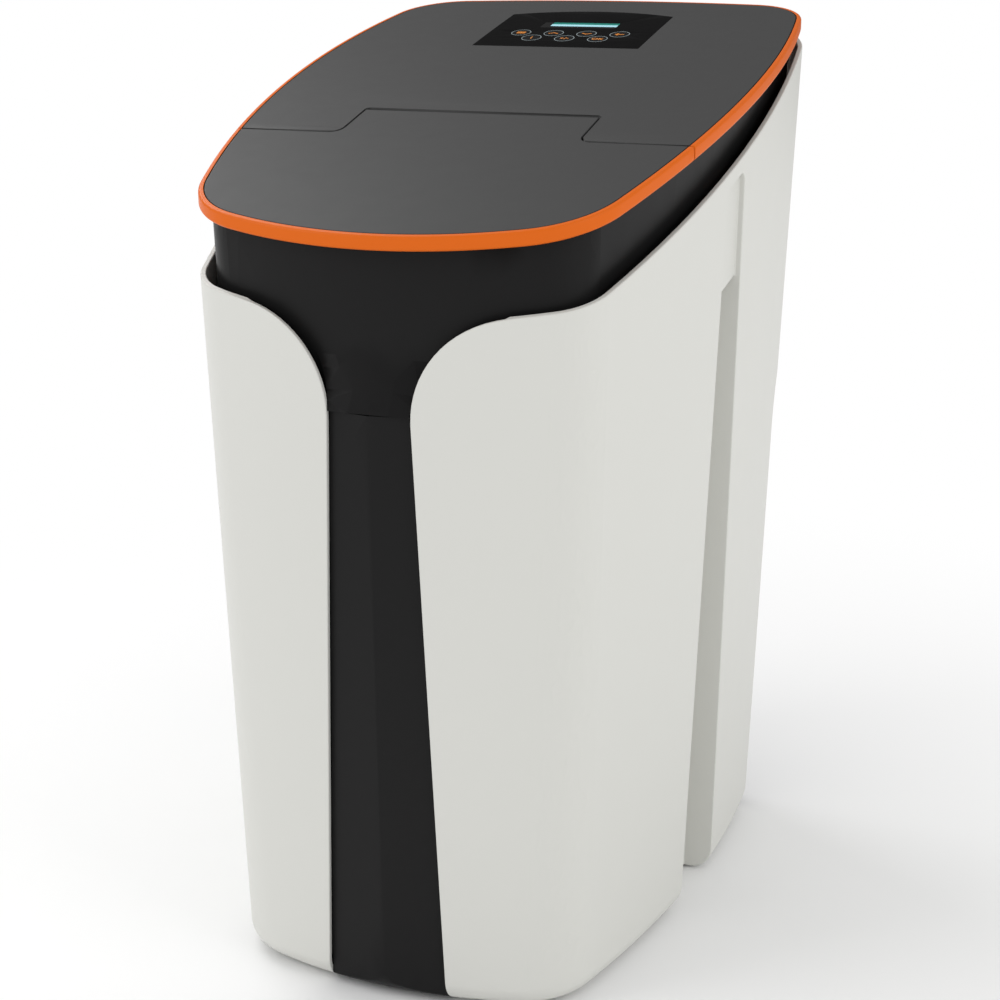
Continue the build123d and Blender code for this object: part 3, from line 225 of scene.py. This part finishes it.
def plain_floor():
    """Pale floor that fades into the white of the room away from the object."""
    material, tree, shader = new_material("studio_floor")
    set_inputs(shader, {"Base Color": (0.9, 0.9, 0.9, 1), "Roughness": 0.9, "Specular IOR Level": 0.0})
    place = tree.nodes.new("ShaderNodeTexCoord")
    reach = add_node(tree, "ShaderNodeVectorMath", operation="LENGTH")
    fade = add_node(tree, "ShaderNodeMapRange", interpolation_type="SMOOTHSTEP",
                    **{"From Min": FADE_START, "From Max": FADE_END})
    white = add_node(tree, "ShaderNodeEmission", Strength=ROOM_SEEN)
    blend = tree.nodes.new("ShaderNodeMixShader")
    tree.links.new(place.outputs["Object"], reach.inputs[0])
    tree.links.new(reach.outputs["Value"], fade.inputs["Value"])
    tree.links.new(fade.outputs["Result"], blend.inputs["Fac"])
    tree.links.new(shader.outputs["BSDF"], blend.inputs[1])
    tree.links.new(white.outputs["Emission"], blend.inputs[2])
    tree.links.new(blend.outputs["Shader"], tree.nodes["Material Output"].inputs["Surface"])
    return material


def studio():
    white_room()
    bpy.context.scene.view_settings.view_transform = "Standard"
    for light in SOFT_LIGHTS:
        soft_light(*light)
    bpy.ops.object.select_all(action="DESELECT")
    bpy.ops.mesh.primitive_plane_add(size=FLOOR_SIZE, location=(0, 0, 0))
    floor = bpy.context.object
    floor.name = "studio_floor"
    floor.data.materials.append(plain_floor())


# Shared effects
def new_group(name, inputs, outputs):
    group = bpy.data.node_groups.new(name, "ShaderNodeTree")
    for label, kind, value in inputs:
        socket = group.interface.new_socket(label, in_out="INPUT", socket_type=kind)
        if value is not None:
            socket.default_value = value
    for label, kind in outputs:
        group.interface.new_socket(label, in_out="OUTPUT", socket_type=kind)
    entry = group.nodes.new("NodeGroupInput")
    leave = group.nodes.new("NodeGroupOutput")
    return group, entry, leave


def add_node(tree, kind, **settings):
    """New node; a setting goes to the input of that name or else to the node itself."""
    node = tree.nodes.new(kind)
    for label, value in settings.items():
        if label in node.inputs:
            node.inputs[label].default_value = value
        else:
            setattr(node, label, value)
    return node


def set_inputs(node, values):
    for label, value in values.items():
        node.inputs[label].default_value = value


def multiplied(tree, first, second):
    """Socket with the product of two colours."""
    mix = add_node(tree, "ShaderNodeMix", data_type="RGBA", blend_type="MULTIPLY")
    mix.inputs["Factor"].default_value = 1.0
    tree.links.new(first, mix.inputs[MIX_FIRST])
    tree.links.new(second, mix.inputs[MIX_SECOND])
    return mix.outputs[MIX_RESULT]


def moulded_grain_group():
    """Height of the fine grain of a textured moulding: cells over soft noise."""
    group, entry, leave = new_group(
        "moulded_grain",
        [("Place", "NodeSocketVector", None), ("Grain size", "NodeSocketFloat", 900.0),
         ("Depth", "NodeSocketFloat", 1.0)],
        [("Height", "NodeSocketFloat")])
    cells = add_node(group, "ShaderNodeTexVoronoi", feature="SMOOTH_F1")
    noise = add_node(group, "ShaderNodeTexNoise", Detail=3.0, Roughness=0.6)
    for node in (cells, noise):
        group.links.new(entry.outputs["Place"], node.inputs["Vector"])
        group.links.new(entry.outputs["Grain size"], node.inputs["Scale"])
    both = add_node(group, "ShaderNodeMath", operation="MULTIPLY")
    group.links.new(cells.outputs["Distance"], both.inputs[0])
    group.links.new(noise.outputs["Fac"], both.inputs[1])
    deep = add_node(group, "ShaderNodeMath", operation="MULTIPLY")
    group.links.new(both.outputs["Value"], deep.inputs[0])
    group.links.new(entry.outputs["Depth"], deep.inputs[1])
    group.links.new(deep.outputs["Value"], leave.inputs["Height"])
    return group


def shade_drift_group():
    """Slow drift of the tint over a large moulding, and a finer drift of its sheen."""
    group, entry, leave = new_group(
        "shade_drift",
        [("Place", "NodeSocketVector", None), ("Tint", "NodeSocketColor", (0.5, 0.5, 0.5, 1)),
         ("Drift", "NodeSocketFloat", 0.05), ("Sheen low", "NodeSocketFloat", 0.3),
         ("Sheen high", "NodeSocketFloat", 0.4)],
        [("Tint", "NodeSocketColor"), ("Sheen", "NodeSocketFloat")])
    slow = add_node(group, "ShaderNodeTexNoise", Scale=3.5, Detail=2.0)
    fine = add_node(group, "ShaderNodeTexNoise", Scale=60.0, Detail=4.0)
    for node in (slow, fine):
        group.links.new(entry.outputs["Place"], node.inputs["Vector"])
    centred = add_node(group, "ShaderNodeMapRange", **{"To Min": -1.0, "To Max": 1.0})
    group.links.new(slow.outputs["Fac"], centred.inputs["Value"])
    amount = add_node(group, "ShaderNodeMath", operation="MULTIPLY_ADD")
    amount.inputs[2].default_value = 1.0
    group.links.new(centred.outputs["Result"], amount.inputs[0])
    group.links.new(entry.outputs["Drift"], amount.inputs[1])
    tint = add_node(group, "ShaderNodeHueSaturation")
    group.links.new(entry.outputs["Tint"], tint.inputs["Color"])
    group.links.new(amount.outputs["Value"], tint.inputs["Value"])
    sheen = add_node(group, "ShaderNodeMapRange")
    group.links.new(fine.outputs["Fac"], sheen.inputs["Value"])
    group.links.new(entry.outputs["Sheen low"], sheen.inputs["To Min"])
    group.links.new(entry.outputs["Sheen high"], sheen.inputs["To Max"])
    group.links.new(tint.outputs["Color"], leave.inputs["Tint"])
    group.links.new(sheen.outputs["Result"], leave.inputs["Sheen"])
    return group


GRAIN = moulded_grain_group()
DRIFT = shade_drift_group()


# Finishes
def new_material(name):
    """New material, with its node tree and its surface shader."""
    material = bpy.data.materials.new(name)
    material.use_nodes = True
    return material, material.node_tree, material.node_tree.nodes["Principled BSDF"]


def place_group(tree, group, values):
    node = tree.nodes.new("ShaderNodeGroup")
    node.node_tree = group
    set_inputs(node, values)
    return node


def moulding(name, tint, sheen, grain_size, grain_depth, drift=0.03, metallic=0.0, gloss=0.5):
    """Base of every moulded or metal finish here: drifting tint and sheen over a fine grain."""
    material, tree, shader = new_material(name)
    set_inputs(shader, {"Metallic": metallic, "Specular IOR Level": gloss})
    place = tree.nodes.new("ShaderNodeTexCoord")
    shade = place_group(
        tree, DRIFT, {"Tint": (*tint, 1), "Drift": drift, "Sheen low": sheen[0], "Sheen high": sheen[1]})
    grain = place_group(tree, GRAIN, {"Grain size": grain_size, "Depth": grain_depth})
    bump = add_node(tree, "ShaderNodeBump", Strength=0.5, Distance=GRAIN_RELIEF)
    for node in (shade, grain):
        tree.links.new(place.outputs["Object"], node.inputs["Place"])
    tree.links.new(shade.outputs["Tint"], shader.inputs["Base Color"])
    tree.links.new(shade.outputs["Sheen"], shader.inputs["Roughness"])
    tree.links.new(grain.outputs["Height"], bump.inputs["Height"])
    tree.links.new(bump.outputs["Normal"], shader.inputs["Normal"])
    return material


def new_relief(material, height, depth):
    """Replaces the grain of a moulding by another relief."""
    bump = material.node_tree.nodes["Bump"]
    bump.inputs["Distance"].default_value = depth
    material.node_tree.links.new(height, bump.inputs["Height"])


def with_painted_seam_shade(material):
    """Painted shade: darkens a finish's colour where another face stands within a seam's width of it, as shade
    falls in seams and crevices.
    """
    tree = material.node_tree
    tint_socket = tree.nodes["Principled BSDF"].inputs["Base Color"]
    tint = tint_socket.links[0].from_socket
    # painted shade: occlusion within the seam's width, raised to a power, darkens the colour
    seam_occlusion = add_node(tree, "ShaderNodeAmbientOcclusion", Distance=SEAM_SHADE_REACH, samples=4)
    depth = add_node(tree, "ShaderNodeMath", operation="POWER")
    depth.inputs[1].default_value = SEAM_SHADE_POWER
    tree.links.new(seam_occlusion.outputs["AO"], depth.inputs[0])
    tree.links.new(multiplied(tree, tint, depth.outputs["Value"]), tint_socket)
    return material


def lit_display():
    """Picture of the display in dark glass: teal band over a pale cyan one, with a fine dot raster."""
    material, tree, shader = new_material("lit_display")
    set_inputs(shader, {"Roughness": 0.25, "Specular IOR Level": 0.08, "Emission Strength": 0.3})
    place = tree.nodes.new("ShaderNodeTexCoord")
    split = tree.nodes.new("ShaderNodeSeparateXYZ")
    across = add_node(tree, "ShaderNodeMapRange", **{"From Min": WINDOW_MIDDLE - WINDOW_DEPTH / 2,
                                                     "From Max": WINDOW_MIDDLE + WINDOW_DEPTH / 2})
    bands = tree.nodes.new("ShaderNodeValToRGB")
    steps = bands.color_ramp.elements
    steps[0].position, steps[0].color = DISPLAY_BANDS[0]
    steps[1].position, steps[1].color = DISPLAY_BANDS[-1]
    for position, colour in DISPLAY_BANDS[1:-1]:
        steps.new(position).color = colour
    lit = add_node(tree, "ShaderNodeMath", operation="GREATER_THAN")
    lit.inputs[1].default_value = LIT_LEFT
    raster = add_node(tree, "ShaderNodeTexBrick", Scale=2400.0, offset=0.0, Color1=WHITE,
                      Color2=(0.96, 0.96, 0.96, 1), Mortar=(0.8, 0.8, 0.8, 1), **{"Mortar Size": 0.04})
    tree.links.new(place.outputs["Object"], split.inputs["Vector"])
    tree.links.new(place.outputs["Object"], raster.inputs["Vector"])
    tree.links.new(split.outputs["Y"], across.inputs["Value"])
    tree.links.new(split.outputs["X"], lit.inputs[0])
    tree.links.new(across.outputs["Result"], bands.inputs["Fac"])
    picture = multiplied(tree, bands.outputs["Color"], lit.outputs["Value"])
    dotted = multiplied(tree, picture, raster.outputs["Color"])
    tree.links.new(dotted, shader.inputs["Base Color"])
    tree.links.new(dotted, shader.inputs["Emission Color"])
    return material


def circuit_board():
    """Solder-masked board: green with paler tracks."""
    mask = (0.02, 0.12, 0.06)
    material = moulding("circuit_board", mask, (0.3, 0.4), 500, 0.4)
    tree = material.node_tree
    tracks = add_node(tree, "ShaderNodeTexBrick", Scale=120.0, Color1=(*mask, 1),
                      Color2=(0.025, 0.15, 0.07, 1), Mortar=(0.06, 0.26, 0.12, 1))
    tree.links.new(tree.nodes["Texture Coordinate"].outputs["Object"], tracks.inputs["Vector"])
    tree.links.new(tracks.outputs["Color"], tree.nodes["Principled BSDF"].inputs["Base Color"])
    return material


def resin_beads():
    """Packed amber beads."""
    material = moulding("resin_beads", (0.42, 0.2, 0.05), (0.25, 0.4), 1400, 1.0, drift=0.2)
    tree = material.node_tree
    beads = add_node(tree, "ShaderNodeTexVoronoi", Scale=1500.0)
    tree.links.new(tree.nodes["Texture Coordinate"].outputs["Object"], beads.inputs["Vector"])
    new_relief(material, beads.outputs["Distance"], BEAD_RELIEF)
    return material


def wound_glass():
    """Blue-grey bottle skin with crossing windings."""
    material = moulding("wound_glass", (0.1, 0.17, 0.26), (0.25, 0.4), 300, 0.5, drift=0.1)
    tree = material.node_tree
    both = add_node(tree, "ShaderNodeMath", operation="MAXIMUM")
    for index, turn in enumerate((WINDING_TURN, -WINDING_TURN)):
        mapped = add_node(tree, "ShaderNodeMapping", Rotation=(0, radians(turn), 0))
        wave = add_node(tree, "ShaderNodeTexWave", Scale=60.0, Distortion=1.5, bands_direction="Z")
        tree.links.new(tree.nodes["Texture Coordinate"].outputs["Object"], mapped.inputs["Vector"])
        tree.links.new(mapped.outputs["Vector"], wave.inputs["Vector"])
        tree.links.new(wave.outputs["Fac"], both.inputs[index])
    new_relief(material, both.outputs["Value"], WINDING_RELIEF)
    return material


def finishes():
    """Every finish by the slot of the record that it dresses."""
    return {
        "shell_plastic": moulding(
            "shell_satin", (0.655, 0.655, 0.62), (0.38, 0.46), 700, 0.35, drift=0.012, gloss=0.4),
        "black_plastic": moulding(
            "black_satin", (0.010, 0.0098, 0.010), (0.34, 0.42), 1100, 0.6, drift=0.05, gloss=0.13),
        # the lid and trim finishes carry painted shade in their seams
        "lid_plastic": with_painted_seam_shade(
            moulding("lid_fine_grain", (0.059, 0.059, 0.059), (0.44, 0.52), 1600, 1.0, gloss=0.2)),
        "trim_plastic": with_painted_seam_shade(
            moulding("orange_gloss", (0.70, 0.132, 0.010), (0.3, 0.38), 600, 0.3, gloss=0.1)),
        "fascia_plastic": moulding(
            "fascia_black", (0.0034, 0.0032, 0.0034), (0.36, 0.44), 1200, 0.4, gloss=0.02),
        "key_plastic": moulding("key_black", (0.006, 0.006, 0.007), (0.4, 0.48), 1500, 0.5, gloss=0.08),
        "window_plastic": lit_display(),
        "electronics": circuit_board(),
        "grey_plastic": moulding("grey_moulding", (0.24, 0.25, 0.26), (0.42, 0.52), 900, 0.8),
        "white_plastic": moulding("white_moulding", (0.72, 0.72, 0.69), (0.38, 0.48), 500, 0.6),
        "bottle_plastic": wound_glass(),
        "resin_beads": resin_beads(),
        "valve_plastic": moulding("valve_glass_filled", (0.05, 0.05, 0.055), (0.4, 0.55), 1300, 1.2),
        "hose_plastic": moulding("pale_hose", (0.62, 0.62, 0.58), (0.3, 0.4), 500, 0.4),
        "steel": moulding("bright_steel", (0.6, 0.6, 0.61), (0.2, 0.32), 900, 0.4, metallic=1.0),
        "rubber_parts": moulding("matt_rubber", (0.022, 0.022, 0.022), (0.7, 0.8), 1400, 1.0),
        "socket_plastic": moulding("socket_black", (0.03, 0.03, 0.03), (0.4, 0.5), 1000, 0.8),
    }


FINISH = finishes()
PALE_PRINT = moulding("pale_print", (0.27, 0.31, 0.32), (0.4, 0.5), 1500, 0.3, gloss=0.1)
ORANGE_PRINT = moulding("orange_print", (0.78, 0.26, 0.02), (0.4, 0.5), 1500, 0.3)
SLOT_OF = {part["node"]: part["material_slot"] for part in frame["record"]["subparts"]}
BODY_OF = {node: body for body, nodes in frame["record"]["behaviour"]["bodies"].items() for node in nodes}


def dress_nodes():
    for node, obj in frame["nodes"].items():
        obj.data.materials.clear()
        obj.data.materials.append(FINISH[SLOT_OF[node]])


# Pieces
def edit_all():
    """Goes to edit mode with the whole mesh selected."""
    bpy.ops.object.mode_set(mode="EDIT")
    bpy.ops.mesh.select_all(action="SELECT")


def apply_modifier(piece, name, kind, **settings):
    modifier = piece.modifiers.new(name, kind)
    for label, value in settings.items():
        setattr(modifier, label, value)
    bpy.ops.object.modifier_apply(modifier=modifier.name)


def finish_piece(piece, body, material, slot, *nodes):
    piece.data.materials.clear()
    piece.data.materials.append(material)
    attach(piece, body)
    if nodes:
        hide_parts(*nodes)


def place_in_mesh(piece, matrix):
    """Moves a piece drawn flat at the origin to its place, with the object itself left at the origin."""
    piece.data.transform(matrix @ piece.matrix_basis)
    piece.matrix_basis = Matrix.Identity(4)


def close_rim_step(piece):
    """Merges the low step inside a shell's rim, where the S-curve meets the sloping edge."""
    bpy.ops.object.mode_set(mode="EDIT")
    bpy.ops.mesh.select_all(action="DESELECT")
    bpy.ops.object.mode_set(mode="OBJECT")
    for vertex in piece.data.vertices:
        aside, along, up = vertex.co
        at_end = abs(abs(aside) - SWEEP_END_X) < RIM_ASIDE and abs(up - SWEEP_END_Z) < RIM_UP
        vertex.select = at_end and along < SWEEP_END_Y + RIM_INWARD
    bpy.ops.object.mode_set(mode="EDIT")
    bpy.ops.mesh.remove_doubles(threshold=RIM_STEP)
    bpy.ops.object.mode_set(mode="OBJECT")


def worked_copy(node, crease, width=0):
    """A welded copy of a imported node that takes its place: edges rounded by width, creased above an angle."""
    piece = bpy.data.objects.new(node + "_skin", frame["nodes"][node].data.copy())
    bpy.context.collection.objects.link(piece)
    bpy.ops.object.select_all(action="DESELECT")
    piece.select_set(True)
    bpy.context.view_layer.objects.active = piece
    edit_all()
    bpy.ops.mesh.remove_doubles(threshold=WELD)
    bpy.ops.object.mode_set(mode="OBJECT")
    if node in ("left_shell", "right_shell"):
        close_rim_step(piece)
    if width:
        edit_all()
        bpy.ops.mesh.dissolve_limited(angle_limit=radians(FLAT_ANGLE))
        bpy.ops.object.mode_set(mode="OBJECT")
        apply_modifier(piece, "rounded edges", "BEVEL", width=width, segments=EDGE_STEPS,
                       limit_method="ANGLE", angle_limit=radians(crease), use_clamp_overlap=False)
    bpy.ops.object.shade_smooth_by_angle(angle=radians(crease))
    apply_modifier(piece, "even shading", "WEIGHTED_NORMAL", keep_sharp=True)
    finish_piece(piece, BODY_OF[node], FINISH[SLOT_OF[node]], SLOT_OF[node], node)


def flat_bar(length, place, turn):
    """One flat stroke, drawn at the origin."""
    bpy.ops.object.select_all(action="DESELECT")
    bpy.ops.mesh.primitive_plane_add(size=1, location=(*place, 0), rotation=(0, 0, radians(turn)))
    bar = bpy.context.object
    bar.scale = (length, STROKE, 1)
    return bar


def raised(strokes, name):
    """Joins flat strokes and gives them their print height."""
    bpy.ops.object.select_all(action="DESELECT")
    for stroke in strokes:
        stroke.select_set(True)
    bpy.context.view_layer.objects.active = strokes[0]
    if len(strokes) > 1:
        bpy.ops.object.join()
    piece = bpy.context.object
    bpy.ops.object.transform_apply(location=True, rotation=True, scale=True)
    piece.name = name
    apply_modifier(piece, "print height", "SOLIDIFY", thickness=PRINT_HEIGHT, offset=1)
    return piece


def lettered(text, size):
    """Flat letters as a mesh, centred on the origin."""
    bpy.ops.object.select_all(action="DESELECT")
    bpy.ops.object.text_add()
    words = bpy.context.object
    words.data.body = text
    words.data.size = size
    words.data.align_x = "CENTER"
    words.data.align_y = "CENTER"
    words.data.offset = size * LETTER_BOLD
    words.data.resolution_u = LETTER_STEPS
    bpy.ops.object.convert(target="MESH")
    return bpy.context.object


def menu_sign():
    """Three bars, one over the other."""
    return [flat_bar(MENU_WIDTH, (0, row * MENU_PITCH), 0) for row in (-1, 0, 1)]


def chevron_sign(up):
    """Open arrowhead of two slanted strokes: up is 1 or -1."""
    length = CHEVRON_HALF / cos(radians(CHEVRON_SLANT)) + STROKE / 2
    return [flat_bar(length, (side * CHEVRON_HALF / 2, 0), -side * up * CHEVRON_SLANT) for side in (-1, 1)]


def arrow_sign():
    """Arrow that points to the left."""
    shaft = flat_bar(2 * ARROW_HALF, (0, 0), 0)
    aside = -ARROW_HALF + ARROW_STROKE / 2 * cos(radians(ARROW_SLANT))
    ahead = ARROW_STROKE / 2 * sin(radians(ARROW_SLANT))
    head = [flat_bar(ARROW_STROKE, (aside, side * ahead), side * ARROW_SLANT) for side in (-1, 1)]
    return [shaft, *head]


def key_signs():
    """Generic signs of the seven keys, each with its place on the lid."""
    return {
        "key_menu": (-1.5 * KEY_PITCH, KEY_ROW_REAR, menu_sign),
        "key_up": (-0.5 * KEY_PITCH, KEY_ROW_REAR, lambda: chevron_sign(1)),
        "key_down": (0.5 * KEY_PITCH, KEY_ROW_REAR, lambda: chevron_sign(-1)),
        "key_back": (1.5 * KEY_PITCH, KEY_ROW_REAR, arrow_sign),
        "key_info": (-KEY_PITCH, KEY_ROW_FRONT, lambda: [lettered("i", INFO_SIZE)]),
        "key_change": (0, KEY_ROW_FRONT, lambda: [lettered("+/-", LETTER_SIZE)]),
        "key_enter": (KEY_PITCH, KEY_ROW_FRONT, lambda: [lettered("OK", LETTER_SIZE)]),
    }


def print_keys():
    """Orange sign on each key, and a pale ring round it on the fascia."""
    for key, (x, y, draw) in key_signs().items():
        sign = raised(draw(), f"{key}_sign")
        place_in_mesh(sign, on_lid(x, y))
        finish_piece(sign, key, ORANGE_PRINT, "key_plastic")
        ring = key_ring(f"{key}_ring")
        place_in_mesh(ring, on_lid(x, y))
        finish_piece(ring, "cabinet", PALE_PRINT, "fascia_plastic")


def key_ring(name):
    bpy.ops.object.select_all(action="DESELECT")
    bpy.ops.mesh.primitive_circle_add(vertices=RING_SIDES, radius=RING_RADIUS, fill_type="NGON")
    ring = bpy.context.object
    edit_all()
    bpy.ops.mesh.inset(thickness=RING_WIDTH)
    bpy.ops.mesh.delete(type="FACE")
    bpy.ops.object.mode_set(mode="OBJECT")
    return raised([ring], name)


def thread_profile(start, end, flange_radius):
    """Radius and place along the stub, from the bore at the flange round to the bore at the end."""
    root = PORT_RADIUS - THREAD_DEPTH
    seat_end = PANEL_Y + PANEL_WALL
    thread_start = seat_end + THREAD_RELIEF
    profile = [(PORT_BORE, start), (flange_radius, start), (flange_radius, PANEL_Y),
               (PORT_SEAT_RADIUS, PANEL_Y), (PORT_SEAT_RADIUS, seat_end), (root, seat_end),
               (root, thread_start)]
    for turn in range(int((end - thread_start) / THREAD_PITCH)):
        y = thread_start + turn * THREAD_PITCH
        profile += [(PORT_RADIUS, y + THREAD_PITCH * CREST_START),
                    (PORT_RADIUS, y + THREAD_PITCH * CREST_END), (root, y + THREAD_PITCH)]
    return profile + [(root, end), (PORT_BORE, end), (PORT_BORE, start)]


def threaded_stub(side, node, name):
    """Connector with its thread cut in: a circle drawn out along the profile, ring by ring."""
    low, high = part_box(node)
    profile = thread_profile(low.y, high.y, (high.x - low.x) / 2)
    radius, y = profile[0]
    bpy.ops.object.select_all(action="DESELECT")
    bpy.ops.mesh.primitive_circle_add(vertices=STUB_SIDES, radius=radius, rotation=(pi / 2, 0, 0))
    piece = bpy.context.object
    piece.name = name
    bpy.ops.object.transform_apply(location=True, rotation=True, scale=True)
    edit_all()
    bpy.ops.transform.translate(value=(0, y, 0))
    for next_radius, next_y in profile[1:]:
        bpy.ops.mesh.extrude_region_move(TRANSFORM_OT_translate={"value": (0, next_y - y, 0)})
        grow = next_radius / radius
        bpy.ops.transform.resize(value=(grow, 1, grow), center_override=(0, 0, 0))
        radius, y = next_radius, next_y
    bpy.ops.mesh.select_all(action="SELECT")
    bpy.ops.mesh.remove_doubles(threshold=WELD)
    bpy.ops.mesh.normals_make_consistent(inside=False)
    bpy.ops.object.mode_set(mode="OBJECT")
    bpy.ops.object.shade_smooth_by_angle(angle=radians(STUB_CREASE))
    place_in_mesh(piece, Matrix.Translation((side * PORT_X, 0, (low.z + high.z) / 2)))
    finish_piece(piece, "cabinet", FINISH["valve_plastic"], "valve_plastic", node)


def build_pieces():
    for node in ("left_shell", "right_shell"):
        worked_copy(node, CREASE, SHELL_EDGE)
    for node in ("front_flap", "front_trim", "rear_trim"):
        worked_copy(node, CREASE, PLATE_EDGE)
    for node in ("rear_cover", "control_fascia"):
        worked_copy(node, CREASE)
    worked_copy("inner_cabinet", CABINET_CREASE)
    worked_copy("front_strip", STRIP_CREASE)
    print_keys()
    threaded_stub(-1, "inlet_connector", "inlet_thread")
    threaded_stub(1, "outlet_connector", "outlet_thread")


photo_camera()
studio()
dress_nodes()
build_pieces()
